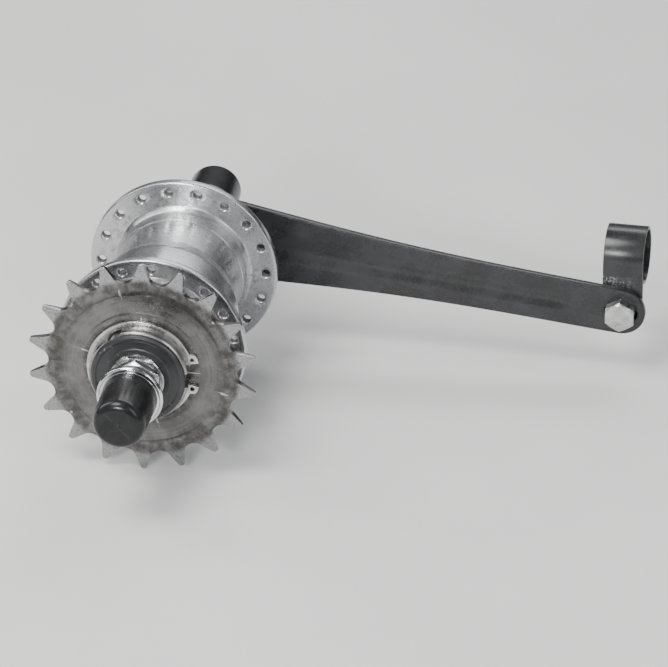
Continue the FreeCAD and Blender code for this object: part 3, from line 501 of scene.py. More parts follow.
MATERIALS = {
    "satin_shell": shell_satin(),
    "axle_steel": threaded_steel(),
    "cone_steel": metal("cone_ground_steel", base=(0.46, 0.46, 0.47), rough=0.24, lathe=0.8),
    "bearing_steel": metal("ball_polished_steel", base=(0.74, 0.74, 0.76), rough=0.10, grain=0.1,
                           grime_and_shade=0.15, wear=0.0),
    "cage_steel": metal("cage_pressed_steel", base=(0.46, 0.42, 0.35), rough=0.34, grain=0.5),
    "zinc_steel": metal("nut_zinc_steel", base=(0.60, 0.605, 0.60), rough=0.27, lathe=0.35,
                        grain=0.5, grime_and_shade=0.30, wear=0.5, tint=(0.13, 0.11, 0.085)),
    "bright_washer": metal("washer_bright_plate", base=(0.76, 0.765, 0.78), rough=0.13,
                           lathe=0.45, grain=0.2, grime_and_shade=0.14, wear=0.4),
    "cap_plastic": cap_plastic(),
    "black_cap": black_paint("dust_cap_black", base=(0.018, 0.0185, 0.020), rough=0.34,
                             chip=0.5),
    "sprocket_steel": sprocket_steel(),
    "gear_steel": metal("gear_hardened_steel", base=(0.36, 0.355, 0.35), rough=0.28, lathe=0.4,
                        grime_and_shade=0.5, tint=(0.04, 0.03, 0.022)),
    "pin_steel": metal("pin_ground_steel", base=(0.66, 0.66, 0.67), rough=0.15, lathe=0.5,
                       grime_and_shade=0.2),
    "pawl_steel": metal("pawl_hardened_steel", base=(0.30, 0.30, 0.31), rough=0.30, grain=0.6,
                        grime_and_shade=0.4),
    "clutch_cage": metal("clutch_cage_steel", base=(0.45, 0.43, 0.39), rough=0.32, grain=0.5),
    "spring_wire": metal("spring_drawn_wire", base=(0.52, 0.52, 0.54), rough=0.22, grime_and_shade=0.2),
    "shoe_bronze": rubbed_bronze(),
    "arm_paint": black_paint("brake_arm_enamel", base=(0.017, 0.0175, 0.019), rough=0.27,
                             chip=0.9),
}


# ------------------------------------------------------------------ mesh helpers
def clamp01(value):
    return max(0.0, min(1.0, value))


def ease(value):
    value = clamp01(value)
    return value * value * (3 - 2 * value)


def value_at(value, angle):
    return value(angle) if callable(value) else value


def link_mesh(name, bm, material):
    """Turn a bmesh into a smooth-shaded object in the scene."""
    bmesh.ops.recalc_face_normals(bm, faces=bm.faces)
    mesh = bpy.data.meshes.new(name)
    bm.to_mesh(mesh)
    bm.free()
    mesh.materials.append(material)
    for face in mesh.polygons:
        face.use_smooth = True
    obj = bpy.data.objects.new(name, mesh)
    scene.collection.objects.link(obj)
    return obj


def add_part(name, bm, body, slot, node, crease):
    """Finish a part that stands in for a CAD node; crease is the sharp-edge angle."""
    bmesh.ops.remove_doubles(bm, verts=bm.verts, dist=1e-6)
    obj = link_mesh(name, bm, MATERIALS[slot])
    obj.data.set_sharp_from_angle(angle=math.radians(crease))
    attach(obj, body)
    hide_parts(node)


def ring_points(radius, y, count, centre=(0.0, 0.0)):
    """Ring about the Y direction; radius and y may depend on angle. Radius 0 is a pole."""
    centre_x, centre_z = centre
    if radius == 0.0:
        return [(centre_x, y, centre_z)]
    points = []
    for j in range(count):
        a = 2 * math.pi * j / count
        r = value_at(radius, a)
        points.append((r * math.cos(a) + centre_x, value_at(y, a), r * math.sin(a) + centre_z))
    return points


def skin(bm, rings, closed=True):
    """Skin closed rings of points with quads; a pole gets a fan."""
    made = [[bm.verts.new(Vector(p) * MM) for p in ring] for ring in rings]
    total = len(made)
    count = max(len(ring) for ring in made)
    for i in range(total if closed else total - 1):
        a, b = made[i], made[(i + 1) % total]
        if len(a) == 1 and len(b) == 1:
            continue
        for j in range(count):
            after = (j + 1) % count
            if len(a) == 1:
                bm.faces.new((a[0], b[after], b[j]))
            elif len(b) == 1:
                bm.faces.new((a[j], a[after], b[0]))
            else:
                bm.faces.new((a[j], a[after], b[after], b[j]))


def soft(points, default=0.25, segments=4, closed=True):
    """Round each corner of a profile. Points are (radius, y) or (radius, y, rounding)."""
    count = len(points)
    out = []
    for i in range(count):
        corner = Vector(points[i][:2])
        if not closed and i in (0, count - 1):
            out.append(tuple(corner))
            continue
        back = Vector(points[i - 1][:2]) - corner
        ahead = Vector(points[(i + 1) % count][:2]) - corner
        rounding = points[i][2] if len(points[i]) > 2 else default
        back_length, ahead_length = back.length, ahead.length
        if rounding <= 0 or back_length < 1e-6 or ahead_length < 1e-6:
            out.append(tuple(corner))
            continue
        back, ahead = back / back_length, ahead / ahead_length
        angle = math.acos(max(-1.0, min(1.0, back.dot(ahead))))
        if angle > math.radians(176) or angle < math.radians(4):
            out.append(tuple(corner))
            continue
        cut = min(rounding / math.tan(angle / 2), back_length * 0.48, ahead_length * 0.48)
        fitted = cut * math.tan(angle / 2)
        centre = corner + (back + ahead).normalized() * (fitted / math.sin(angle / 2))
        start = corner + back * cut - centre
        end = corner + ahead * cut - centre
        first = math.atan2(start.y, start.x)
        last = math.atan2(end.y, end.x)
        sweep = (last - first + math.pi) % (2 * math.pi) - math.pi
        for k in range(segments + 1):
            a = first + sweep * k / segments
            out.append((centre.x + fitted * math.cos(a), centre.y + fitted * math.sin(a)))
    return out


def arc_profile(centre_r, centre_y, radius, start, end, steps):
    """Arc in a profile, between two angles in degrees."""
    out = []
    for i in range(steps + 1):
        a = math.radians(start + (end - start) * i / steps)
        out.append((centre_r + radius * math.cos(a), centre_y + radius * math.sin(a)))
    return out


def mirrored(profile, side):
    return [(r, y * side) for r, y in profile]


def turned_part(name, profile, body, slot, node, count=192, crease=34.0, limit=None):
    """Revolve a closed profile; limit(angle, y) caps the radius to cut flats and slots."""
    bm = bmesh.new()
    rings = []
    for r, y in profile:
        radius = r if limit is None else (lambda a: min(r, limit(a, y)))
        rings.append(ring_points(radius, y, count))
    skin(bm, rings)
    add_part(name, bm, body, slot, node, crease)


def hexagon(across_flats, limit=math.inf):
    """Radius of a hexagon with blunted corners, capped at a limit."""
    corner_zone = 1.4     # degrees either side of a corner

    def radius(a):
        t = (math.degrees(a) + 30.0) % 60.0 - 30.0
        r = across_flats / 2.0 / math.cos(math.radians(t))
        if 30.0 - abs(t) < corner_zone:
            start = across_flats / 2.0 / math.cos(math.radians(30.0 - corner_zone))
            r = start + (r - start) * 0.30
        return min(r, limit)
    return radius


HEX_COUNT = 216


def hex_nut(name, across_flats, y0, y1, node, bore=AXLE_BORE, centre=(0.0, 0.0)):
    """Hexagon nut with coned corners and a countersunk bore."""
    bm = bmesh.new()
    low, high = min(y0, y1), max(y0, y1)
    flat = across_flats / 2.0
    # (radius, depth below the end face), from the bore out to the flats
    half = [(bore + 0.45, 0.0), (flat - 0.9, 0.0), (flat - 0.45, 0.0)]
    for k in range(9):
        half.append((hexagon(across_flats, flat - 0.30 + 0.34 * k), 0.02 + 0.19 * k))
    stations = [(r, low + depth) for r, depth in half]
    stations += [(r, high - depth) for r, depth in reversed(half)]
    stations += [(bore, high - 0.45), (bore, low + 0.45)]
    skin(bm, [ring_points(r, y, HEX_COUNT, centre) for r, y in stations])
    add_part(name, bm, "frame_side", "zinc_steel", node, 28.0)


def thread(major, minor, pitch, y, limit):
    """Radius round a screw thread at one y, capped at a limit."""
    def radius(a):
        t = (y / pitch - a / (2 * math.pi)) % 1.0
        rise = clamp01((abs(2 * t - 1) - 0.14) / 0.72)
        return min(minor + (major - minor) * rise, limit)
    return radius


def steps_from(start, stop, step):
    y = start
    while y < stop:
        yield y
        y += step


def offset_loop(loop, distance):
    """Move a closed 2-D loop inwards (for a counter-clockwise loop)."""
    count = len(loop)
    out = []
    for i in range(count):
        point = Vector(loop[i])
        edge_in = point - Vector(loop[i - 1])
        edge_out = Vector(loop[(i + 1) % count]) - point
        if edge_in.length < 1e-9 or edge_out.length < 1e-9:
            out.append(tuple(point))
            continue
        edge_in.normalize()
        edge_out.normalize()
        normal_in = Vector((-edge_in.y, edge_in.x))
        mitre = normal_in + Vector((-edge_out.y, edge_out.x))
        if mitre.length < 1e-6:
            out.append(tuple(point))
            continue
        mitre.normalize()
        out.append(tuple(point + mitre * (distance / max(0.5, mitre.dot(normal_in)))))
    return out


def inside(point, loop):
    x, y = point
    crossed = False
    count = len(loop)
    for i in range(count):
        x1, y1 = loop[i]
        x2, y2 = loop[(i + 1) % count]
        if (y1 > y) != (y2 > y) and x < (x2 - x1) * (y - y1) / (y2 - y1) + x1:
            crossed = not crossed
    return crossed


def near_loop(point, loop, distance):
    return any((q[0] - point[0]) ** 2 + (q[1] - point[1]) ** 2 < distance * distance
               for q in loop)


def signed_area(loop):
    """Twice the area; positive when the loop is counter-clockwise."""
    count = len(loop)
    return sum(loop[i][0] * loop[(i + 1) % count][1] - loop[(i + 1) % count][0] * loop[i][1]
               for i in range(count))


def plate(bm, outline, holes, y0, y1, bevel, grid=0.0, height=lambda u, v: 0.0):
    """Flat piece across Y with rounded edges, drawn in (x, z).

    grid spaces extra points over the faces; height(x, z) raises both faces towards +Y.
    """
    if signed_area(outline) < 0:
        outline = outline[::-1]
    holes = [hole if signed_area(hole) < 0 else hole[::-1] for hole in holes]
    loops = [outline] + holes
    quarter = [math.pi / 2 * k / 3 for k in range(4)]
    stations = [(a, y0, 1) for a in reversed(quarter)] + [(a, y1, -1) for a in quarter]
    for loop in loops:
        rings = []
        for a, face_y, inward in stations:
            y = face_y + inward * bevel * (1 - math.sin(a))
            rings.append([(u, y + height(u, v), v)
                          for u, v in offset_loop(loop, bevel * (1 - math.cos(a)))])
        skin(bm, rings, closed=False)

    inner = [offset_loop(loop, bevel) for loop in loops]

    def on_face(point):
        return inside(point, inner[0]) and not any(inside(point, h) for h in inner[1:])

    points, edges = [], []
    for loop in inner:
        start = len(points)
        points += [Vector(p) for p in loop]
        edges += [(start + i, start + (i + 1) % len(loop)) for i in range(len(loop))]
    if grid:
        all_u = [p[0] for p in outline]
        all_v = [p[1] for p in outline]
        u = min(all_u) + grid
        row = 0
        while u < max(all_u):
            v = min(all_v) + grid * (0.5 if row % 2 else 1.0)
            while v < max(all_v):
                p = (u, v)
                if on_face(p) and not any(near_loop(p, loop, grid * 0.6) for loop in inner):
                    points.append(Vector(p))
                v += grid
            u += grid * 0.87
            row += 1
    result = geometry.delaunay_2d_cdt(points, edges, [], 1, 1e-7)
    flat_points, triangles = result[0], result[2]
    kept = []
    for tri in triangles:
        middle = (sum(flat_points[i].x for i in tri) / len(tri),
                  sum(flat_points[i].y for i in tri) / len(tri))
        if on_face(middle):
            kept.append(tri)
    for y in (y0, y1):
        verts = [bm.verts.new(Vector((p.x, y + height(p.x, p.y), p.y)) * MM)
                 for p in flat_points]
        for tri in kept:
            bm.faces.new([verts[i] for i in tri])
        bmesh.ops.delete(bm, geom=[v for v in verts if not v.link_faces], context="VERTS")


# ------------------------------------------------------------------ hub shell
SHELL_COUNT = 288
SPOKES = 18               # holes in each flange
BAND_IN, BAND_OUT = 27.25, 31.5    # radii of the band of flange that holds them
SPOKE_R = 29.0            # pitch circle radius of the holes
SPOKE_PITCH = 360.0 / SPOKES

# Profiles: (radius, y, rounding). The first runs from the right flange's outer face round the
# right mouth, through the bore and round the left mouth to the left flange's outer face.
SHELL_ENDS_AND_BORE = [
    (BAND_IN, -FLANGE_FAR), (26.45, -FLANGE_FAR, 0.7), (26.45, -35.7, 0.4), (26.2, -36.9, 0.5),
    (26.2, -38.0, 0.12), (25.85, -38.15, 0.12), (25.85, -38.85, 0.12), (26.2, -39.0, 0.12),
    (26.2, -40.3, 0.4), (25.6, -41.0, 0.3), (24.35, -41.0, 0.15), (24.0, -40.6, 0.2),
    (24.0, -24.9, 0.1), (23.7, -24.9, 0.1), (23.7, -5.6, 0.4), (19.5, -5.0, 0.5),
    (19.5, 42.0, 0.1), (19.9, 42.0, 0.1), (19.9, 47.7, 0.1), (20.2, 48.0, 0.1),
    (21.2, 48.0, 0.25), (21.8, 47.4, 0.3), (21.8, 45.4, 0.2), (22.5, 45.0, 0.3),
    (22.5, 41.5, 0.12), (22.2, 41.35, 0.12), (22.2, 40.7, 0.12), (22.5, 40.55, 0.12),
    (22.5, 30.9, 1.2), (23.4, FLANGE_FAR, 0.7), (BAND_IN, FLANGE_FAR),
]
# Outside of the barrel, between the flanges.
SHELL_BARREL = [
    (BAND_IN, -FLANGE_NEAR), (26.0, -FLANGE_NEAR, 1.1), (26.0, -20.2, 0.12),
    (25.75, -20.05, 0.12), (25.75, -19.35, 0.12), (26.0, -19.2, 0.12), (26.0, -5.5, 7.0),
    (22.5, 3.0, 7.0), (22.5, 18.4, 0.12), (22.25, 18.55, 0.12), (22.25, 19.2, 0.12),
    (22.5, 19.35, 0.12), (22.5, 24.6, 1.6), (23.9, FLANGE_NEAR, 1.0), (BAND_IN, FLANGE_NEAR),
]
# Spoke hole from a face inwards: (radius, depth).
SPOKE_HOLE = [(1.95, 0.0), (1.85, 0.04), (1.52, 0.36), (1.45, 0.5)]


def perforated_band(bm, y_low, y_high, turn):
    """Both faces of a flange's band with countersunk holes through; turn in degrees."""
    across = SHELL_COUNT // SPOKES
    up = 6                # steps across the band's width
    half = math.radians(SPOKE_PITCH / 2)
    for k in range(SPOKES):
        mid = math.radians(turn + SPOKE_PITCH * k)
        hole_x, hole_z = SPOKE_R * math.cos(mid), SPOKE_R * math.sin(mid)
        angles = [mid - half + 2 * half * j / across for j in range(across + 1)]
        radii = [BAND_IN + (BAND_OUT - BAND_IN) * j / up for j in range(1, up)]
        polar = [(BAND_IN, a) for a in angles]
        polar += [(r, mid + half) for r in radii]
        polar += [(BAND_OUT, a) for a in reversed(angles)]
        polar += [(r, mid - half) for r in reversed(radii)]
        bound = [(r * math.cos(a), r * math.sin(a)) for r, a in polar]
        headings = [math.atan2(z - hole_z, x - hole_x) for x, z in bound]

        def circle(r, y):
            return [(hole_x + r * math.cos(a), y, hole_z + r * math.sin(a)) for a in headings]

        def outward(share, y):
            """Between the hole's mouth (0) and the edge of its cell (1)."""
            return [(cx * (1 - share) + x * share, y, cz * (1 - share) + z * share)
                    for (cx, _, cz), (x, z) in zip(circle(SPOKE_HOLE[0][0], y), bound)]

        rings = [outward(1.0, y_low), outward(0.45, y_low)]
        rings += [circle(r, y_low + depth) for r, depth in SPOKE_HOLE]
        rings += [circle(r, y_high - depth) for r, depth in reversed(SPOKE_HOLE)]
        rings += [outward(0.45, y_high), outward(1.0, y_high)]
        skin(bm, rings, closed=False)


def build_shell():
    bm = bmesh.new()

    def strip(points, segments):
        profile = soft(points, segments=segments, closed=False)
        skin(bm, [ring_points(r, y, SHELL_COUNT) for r, y in profile], closed=False)

    strip(SHELL_ENDS_AND_BORE, 5)
    rim_r, rim_rounding = 32.95, 1.15
    for middle in (-FLANGE_Y, FLANGE_Y):
        low, high = middle - FLANGE_HALF, middle + FLANGE_HALF
        strip([(BAND_OUT, low), (rim_r, low, rim_rounding), (rim_r, high, rim_rounding),
               (BAND_OUT, high)], 7)
    strip(SHELL_BARREL, 7)
    perforated_band(bm, -FLANGE_FAR, -FLANGE_NEAR, turn=SPOKE_PITCH / 2)
    perforated_band(bm, FLANGE_NEAR, FLANGE_FAR, turn=0.0)
    add_part("hub_shell_turned", bm, "shell", "satin_shell", "hub_shell", 34.0)


build_shell()


# ------------------------------------------------------------------ axle
def sun_gear(limit=math.inf):
    """Radius round the 24 gear teeth cut on the axle."""
    root, tip, teeth = 6.45, 7.8, 24

    def radius(a):
        t = (math.degrees(a) * teeth / 360.0) % 1.0
        rise = clamp01((abs(t - 0.5) * 2.0 - 0.31) / 0.42)
        return min(root + (tip - root) * rise, limit)
    return radius


def build_axle():
    bm = bmesh.new()
    count = 72
    gear_count = 24 * 18

    def thread_run(start, stop):
        """Stations along a threaded end, coned down towards the axle's tip."""
        return [(thread(5.23, 4.72, 1.0, y, limit=4.35 + (AXLE_END - abs(y)) * 0.9), y)
                for y in steps_from(start, stop, 0.1)]

    stations = [(4.0, -AXLE_END)] + thread_run(-AXLE_END, -43.0) + [(4.95, -42.6)]
    stations += soft([(4.95, -42.5), (5.2, -42.2), (5.25, -20.8), (6.2, -20.2), (6.45, -19.85)],
                     0.2, closed=False)
    stations += [(6.45, -19.8), (6.45, -7.6), (6.3, -7.4), (5.25, -6.8), (5.25, 32.0),
                 (5.2, 42.0), (4.95, 42.4)]
    stations += thread_run(43.0, AXLE_END) + [(4.0, AXLE_END)]
    skin(bm, [ring_points(r, y, count) for r, y in stations], closed=False)

    # the toothed band has its own, finer ring count
    toothed = [(6.40, -19.8), (sun_gear(7.5), -19.8), (sun_gear(), -19.5),
               (sun_gear(), -7.9), (sun_gear(7.5), -7.6), (6.40, -7.6)]
    skin(bm, [ring_points(r, y, gear_count) for r, y in toothed])

    # end faces with a lathe centre: (radius, depth)
    end_face = [(4.0, 0.0), (1.3, 0.0), (0.9, 0.5), (0.3, 1.1), (0.0, 1.2)]
    for side in (-1, 1):
        skin(bm, [ring_points(r, (AXLE_END - depth) * side, count) for r, depth in end_face],
             closed=False)
    add_part("axle_threaded", bm, "frame_side", "axle_steel", "axle", 40.0)


build_axle()


# ------------------------------------------------------------------ nuts, washers and caps
def cap_profile():
    """Closed cap: tapered wall, full round shoulder, faint dished end with a gate mark."""
    y0, y1 = 66.9, 86.9   # open rim and closed end
    wall = soft([(8.75, y0 + 0.25), (8.95, y0, 0.15), (9.42, y0, 0.2), (9.6, y0 + 0.3, 0.2),
                 (9.57, y0 + 1.3, 0.12), (9.47, y0 + 1.42, 0.08), (9.46, y0 + 1.72, 0.08),
                 (9.54, y0 + 1.85, 0.12), (9.099, y1 - 3.3)], 0.1, 6, closed=False)
    shoulder = arc_profile(5.70, y1 - 3.4, 3.4, 2.5, 90.0, 22)
    end = soft([(5.4, y1), (4.9, y1 - 0.06, 0.5), (2.2, y1 - 0.08, 0.12), (2.05, y1 - 0.22),
                (0.9, y1 - 0.22), (0.7, y1 - 0.10), (0.0, y1 - 0.08)], 0.1, 5, closed=False)
    inner = soft([(0.0, y1 - 2.2), (6.2, y1 - 2.2, 1.6), (8.4, y0 + 14.0, 0.6),
                  (8.75, y0 + 10.0, 0.3), (8.75, y0 + 0.35)], 0.1, 6, closed=False)
    return wall + shoulder + end + inner


def washer_profile():
    """Axle washer with a shallow groove in its outer face."""
    y0, y1 = 65.0, 66.8
    return soft([(5.36, y0, 0.1), (11.1, y0, 0.4), (11.5, y0 + 0.45, 0.3),
                 (11.5, y1 - 0.5, 0.35), (11.05, y1, 0.35), (10.6, y1, 0.1),
                 (10.45, y1 - 0.12, 0.1), (9.95, y1 - 0.12, 0.1), (9.8, y1, 0.1),
                 (5.36, y1, 0.1)], 0.15, 5)


for side, name in ((-1, "right"), (1, "left")):
    turned_part(name + "_cap_moulded", mirrored(cap_profile(), side), "frame_side",
                "cap_plastic", name + "_nut_cap", 160, 50.0)
    turned_part(name + "_washer_plated", mirrored(washer_profile(), side), "frame_side",
                "bright_washer", name + "_axle_washer")
    hex_nut(name + "_axle_nut_hex", 15.0, 66.85 * side, 75.85 * side, name + "_axle_nut")

hex_nut("right_locknut_hex", 17.0, -59.0, -56.1, "right_locknut")
hex_nut("left_locknut_hex", 17.0, 56.1, 59.0, "left_locknut")
hex_nut("arm_lock_nut_hex", 19.0, 53.65, 56.05, "arm_lock_nut")
turned_part("right_lock_washer_turned",
            soft([(AXLE_BORE, -56.05), (8.6, -56.05, 0.2), (8.6, -54.85, 0.2),
                  (AXLE_BORE, -54.85)], 0.1),
            "frame_side", "zinc_steel", "right_lock_washer")


# ------------------------------------------------------------------ cone and dust caps
def cone_limit(a, y):
    """Two flats, 15 mm apart, on the cone's outer end."""
    if y < -53.5:
        return 7.5 / max(1e-6, abs(math.sin(a)))
    return math.inf


CONE = soft([
    (AXLE_BORE, -54.6), (9.1, -54.6, 0.2), (9.5, -54.2, 0.2), (9.5, -53.52, 0.0),
    (9.5, -53.48, 0.0), (9.5, -52.2, 0.1), (10.9, -52.2, 0.1), (10.9, -48.43)],
    0.1, 3, closed=False)
CONE += arc_profile(BALL_ROW_R, BALL_ROW_Y, RACE, -92.0, -214.0, 18)
CONE += [(9.0, -44.0), (8.5, -43.5), (AXLE_BORE, -43.5)]
turned_part("right_cone_ground", CONE, "frame_side", "cone_steel", "right_cone", 240, 30.0,
            cone_limit)

RIGHT_DUST_CAP = [
    (9.56, -53.4, 0.05), (11.2, -53.4, 0.2), (11.6, -53.15, 0.3), (14.2, -53.15, 0.3),
    (14.7, -53.4, 0.3), (15.7, -53.4, 0.5), (16.4, -52.8, 0.4), (16.4, -52.25, 0.1),
    (15.9, -52.25, 0.1), (15.6, -52.7, 0.2), (14.6, -52.72, 0.2), (14.1, -52.5, 0.2),
    (11.7, -52.5, 0.2), (11.1, -52.72, 0.2), (9.56, -52.72, 0.05),
]
LEFT_DUST_CAP = [
    (13.06, 49.1, 0.05), (20.35, 49.1, 0.1), (20.4, 48.4, 0.1), (21.1, 48.4, 0.12),
    (21.1, 49.5, 0.4), (20.5, 50.1, 0.4), (19.2, 50.1, 0.2), (18.8, 49.85, 0.3),
    (15.2, 49.85, 0.3), (14.7, 50.1, 0.3), (13.06, 50.1, 0.05),
]
for side, profile in (("right", RIGHT_DUST_CAP), ("left", LEFT_DUST_CAP)):
    turned_part(side + "_dust_cap_pressed", soft(profile, 0.1, 4), "frame_side", "black_cap",
                side + "_dust_cap")


# ------------------------------------------------------------------ driver
def third_turn(a):
    """Degrees from the nearest of three evenly spaced directions."""
    return abs((math.degrees(a) + 60.0) % 120.0 - 60.0)


def driver_limit(a, y):
    """Three notches in the driver's inner end and three slots in its sprocket seat."""
    t = third_turn(a)
    if y > -24.5 and t <= 12.4:
        return 10.15
    if y > -43.0:
        return math.inf
    floor, ramp = 15.9, 0.55      # slot floor radius, and degrees of sloping side
    half = math.degrees(math.asin(2.5 / 17.2))
    if t <= half:
        return floor
    if t <= half + ramp:
        return floor + (17.4 - floor) * (t - half) / ramp
    return math.inf


DRIVER = soft([(6.0, -24.6), (6.0, -43.0), (9.6, -43.0), (9.6, -44.02)], 0.1, 3, closed=False)
DRIVER += arc_profile(BALL_ROW_R, BALL_ROW_Y, RACE, 125.0, -38.0, 14)
DRIVER += soft([
    (12.9, -47.6), (12.9, -51.5, 0.1), (13.4, -52.0, 0.15), (16.7, -52.0, 0.25),
    (17.2, -51.5, 0.25), (17.2, -47.35, 0.05), (16.4, -47.35, 0.1), (16.4, -46.05, 0.1),
    (17.2, -46.05, 0.05), (17.2, -43.02, 0.0), (17.2, -42.98, 0.0), (20.2, -42.98, 0.3),
    (20.5, -42.7, 0.2), (20.5, -41.9, 0.2), (20.2, -41.6, 0.2), (17.5, -41.6, 0.1),
    (17.4, -40.2)], 0.1, 3, closed=False)
DRIVER += arc_profile(17.6, -36.4, RACE, -95.0, -186.0, 12)
DRIVER += soft([(15.2, -33.4), (14.6, -32.8, 0.2), (14.6, -22.05, 0.2), (10.2, -22.05, 0.2),
                (10.2, -24.6)], 0.1, 3, closed=False)
turned_part("driver_turned", DRIVER, "drive", "gear_steel", "driver", 360, 30.0, driver_limit)

# ------------------------------------------------------------------ sprocket
TEETH = 18
CHAIN_PITCH, ROLLER = 12.7, 7.75
TOOTH_PITCH = 360.0 / TEETH       # degrees
PITCH_R = CHAIN_PITCH / (2 * math.sin(math.pi / TEETH))
SEAT_R = ROLLER / 2 + 0.12
TOOTH_TIP_R = PITCH_R + 0.42 * ROLLER
TAPER_R = 30.8                    # the faces thin outwards from here


def tooth_curve():
    """(degrees, radius) from the bottom of a roller seat to the middle of a tooth."""
    points = []
    for k in range(25):
        a = math.radians(180.0 - 62.0 * k / 24.0)
        x, z = PITCH_R + SEAT_R * math.cos(a), SEAT_R * math.sin(a)
        points.append((math.degrees(math.atan2(z, x)), math.hypot(x, z)))
    seat_angle, seat_end = points[-1]
    tip = TOOTH_PITCH / 2 - math.degrees(0.9 / TOOTH_TIP_R)
    for k in range(1, 7):
        t = k / 7.0
        bulge = math.sin(t * math.pi) * 0.12
        points.append((seat_angle + (tip - seat_angle) * t + bulge * 0.4,
                       seat_end + (TOOTH_TIP_R - 0.35 - seat_end) * t))
    points.append((tip + 0.1, TOOTH_TIP_R - 0.18))
    points.append((tip + 0.45, TOOTH_TIP_R - 0.04))
    points.append((TOOTH_PITCH / 2, TOOTH_TIP_R))
    return points


TOOTH_CURVE = tooth_curve()


def tooth_radius(a):
    t = math.degrees(a) % TOOTH_PITCH
    t = min(t, TOOTH_PITCH - t)
    if t <= TOOTH_CURVE[0][0]:
        return TOOTH_CURVE[0][1]
    for (a0, r0), (a1, r1) in zip(TOOTH_CURVE, TOOTH_CURVE[1:]):
        if a0 <= t <= a1:
            return r0 + (r1 - r0) * (t - a0) / max(1e-9, a1 - a0)
    return TOOTH_TIP_R


def inside_tooth(gap):
    return lambda a: tooth_radius(a) - gap


def towards_tooth(share):
    return lambda a: TAPER_R + (tooth_radius(a) - TAPER_R) * share


def taper(radius, extra=0.0):
    """Depth of the tapered face at a radius."""
    return lambda a: 0.78 * clamp01((radius(a) - TAPER_R) / (TOOTH_TIP_R - TAPER_R)) ** 1.15 + extra


def lugged_bore(extra):
    """Bore radius with three lugs that fit the driver's slots."""
    half = math.degrees(math.asin(2.42 / 16.6))
    return lambda a: 17.25 - 1.25 * ease((half + 0.5 - third_turn(a)) / 0.6) + extra


def build_sprocket():
    bm = bmesh.new()
    count = TEETH * 36
    y0, y1 = -45.95, -43.05
    # one face from the bore outwards, with a shallow sunk ring: (radius, depth)
    face = [(lugged_bore(0.12), 0.0), (19.2, 0.0), (21.2, 0.0), (21.45, 0.18), (21.8, 0.24),
            (27.9, 0.24), (28.25, 0.18), (28.5, 0.0), (30.6, 0.0)]
    for radius in [towards_tooth(t) for t in (0.12, 0.3, 0.5, 0.7, 0.86, 0.95)]:
        face.append((radius, taper(radius)))
    face += [(inside_tooth(0.12), taper(inside_tooth(0.12))),
             (inside_tooth(0.03), taper(tooth_radius, 0.09)),
             (tooth_radius, taper(tooth_radius, 0.22))]
    rings = []
    for face_y, inward, stations in ((y0, 1, face), (y1, -1, face[::-1])):
        for radius, depth in stations:
            rings.append(ring_points(
                radius, lambda a: face_y + inward * value_at(depth, a), count))
    rings += [ring_points(lugged_bore(0.0), y, count) for y in (y1 - 0.12, y0 + 0.12)]
    skin(bm, rings)
    add_part("sprocket_stamped", bm, "drive", "sprocket_steel", "sprocket", 36.0)


build_sprocket()


# ------------------------------------------------------------------ snap ring and dust ring
def build_snap_ring():
    """Open ring with its gap at +X and a pierced lobe at each end."""
    bm = bmesh.new()
    half_gap, lobe = 13.0, 11.0       # degrees
    end = 360.0 - half_gap
    sweep = end - half_gap
    outer, inner = [], []
    for i in range(121):
        a = half_gap + sweep * i / 120.0
        lobe_rise = ease((lobe - min(a - half_gap, end - a)) / 3.5)
        a = math.radians(a)
        r = 18.9 - 0.45 * (0.5 + 0.5 * math.cos(a)) + 2.1 * lobe_rise
        outer.append((r * math.cos(a), r * math.sin(a)))
        a = math.radians(end - sweep * i / 120.0)
        inner.append((16.5 * math.cos(a), 16.5 * math.sin(a)))
    hole_at, hole_r = 18.6, 0.75
    holes = []
    for a in (math.radians(half_gap + 4.6), math.radians(end - 4.6)):
        turns = [2 * math.pi * i / 24 for i in range(24)]
        holes.append([(hole_at * math.cos(a) + hole_r * math.cos(t),
                       hole_at * math.sin(a) + hole_r * math.sin(t)) for t in turns])
    plate(bm, outer + inner, holes, -47.3, -46.1, bevel=0.14)
    add_part("snap_ring_stamped", bm, "drive", "zinc_steel", "sprocket_snap_ring", 34.0)


build_snap_ring()

turned_part("shell_dust_ring_pressed", soft([
    (17.56, -41.52, 0.05), (22.5, -41.52, 0.4), (23.6, -41.0, 0.4), (23.6, -40.3, 0.1),
    (23.0, -40.3, 0.1), (22.8, -40.78, 0.2), (17.56, -40.78, 0.05)], 0.1, 4),
    "drive", "black_cap", "shell_dust_ring")

# ------------------------------------------------------------------ brake arm
ARM_ANGLE = math.atan2(EYE_Z, EYE_X)
ARM_X, ARM_Z = math.cos(ARM_ANGLE), math.sin(ARM_ANGLE)    # direction along the arm
ARM_LENGTH = math.hypot(EYE_X, EYE_Z)
HEAD_R, TIP_R = 16.0, 8.5


def arm_outline():
    """Round head and tip joined by waisted sides, in (x, z)."""
    lean = math.acos((HEAD_R - TIP_R) / ARM_LENGTH)
    steps = 60
    start = HEAD_R * math.cos(lean)
    end = ARM_LENGTH + TIP_R * math.cos(lean)

    def side_point(j, side):
        s = start + (end - start) * j / steps
        t = clamp01(s / ARM_LENGTH)
        half = HEAD_R + (TIP_R - HEAD_R) * t - 2.3 * math.sin(math.pi * t) ** 1.2
        return (ARM_X * s + side * ARM_Z * half, ARM_Z * s - side * ARM_X * half)

    points = []
    for j in range(73):
        a = ARM_ANGLE + lean + (2 * math.pi - 2 * lean) * j / 72
        points.append((HEAD_R * math.cos(a), HEAD_R * math.sin(a)))
    points += [side_point(j, 1) for j in range(1, steps)]
    for j in range(33):
        a = ARM_ANGLE - lean + 2 * lean * j / 32
        points.append((EYE_X + TIP_R * math.cos(a), EYE_Z + TIP_R * math.sin(a)))
    points += [side_point(j, -1) for j in range(steps - 1, 0, -1)]
    return points


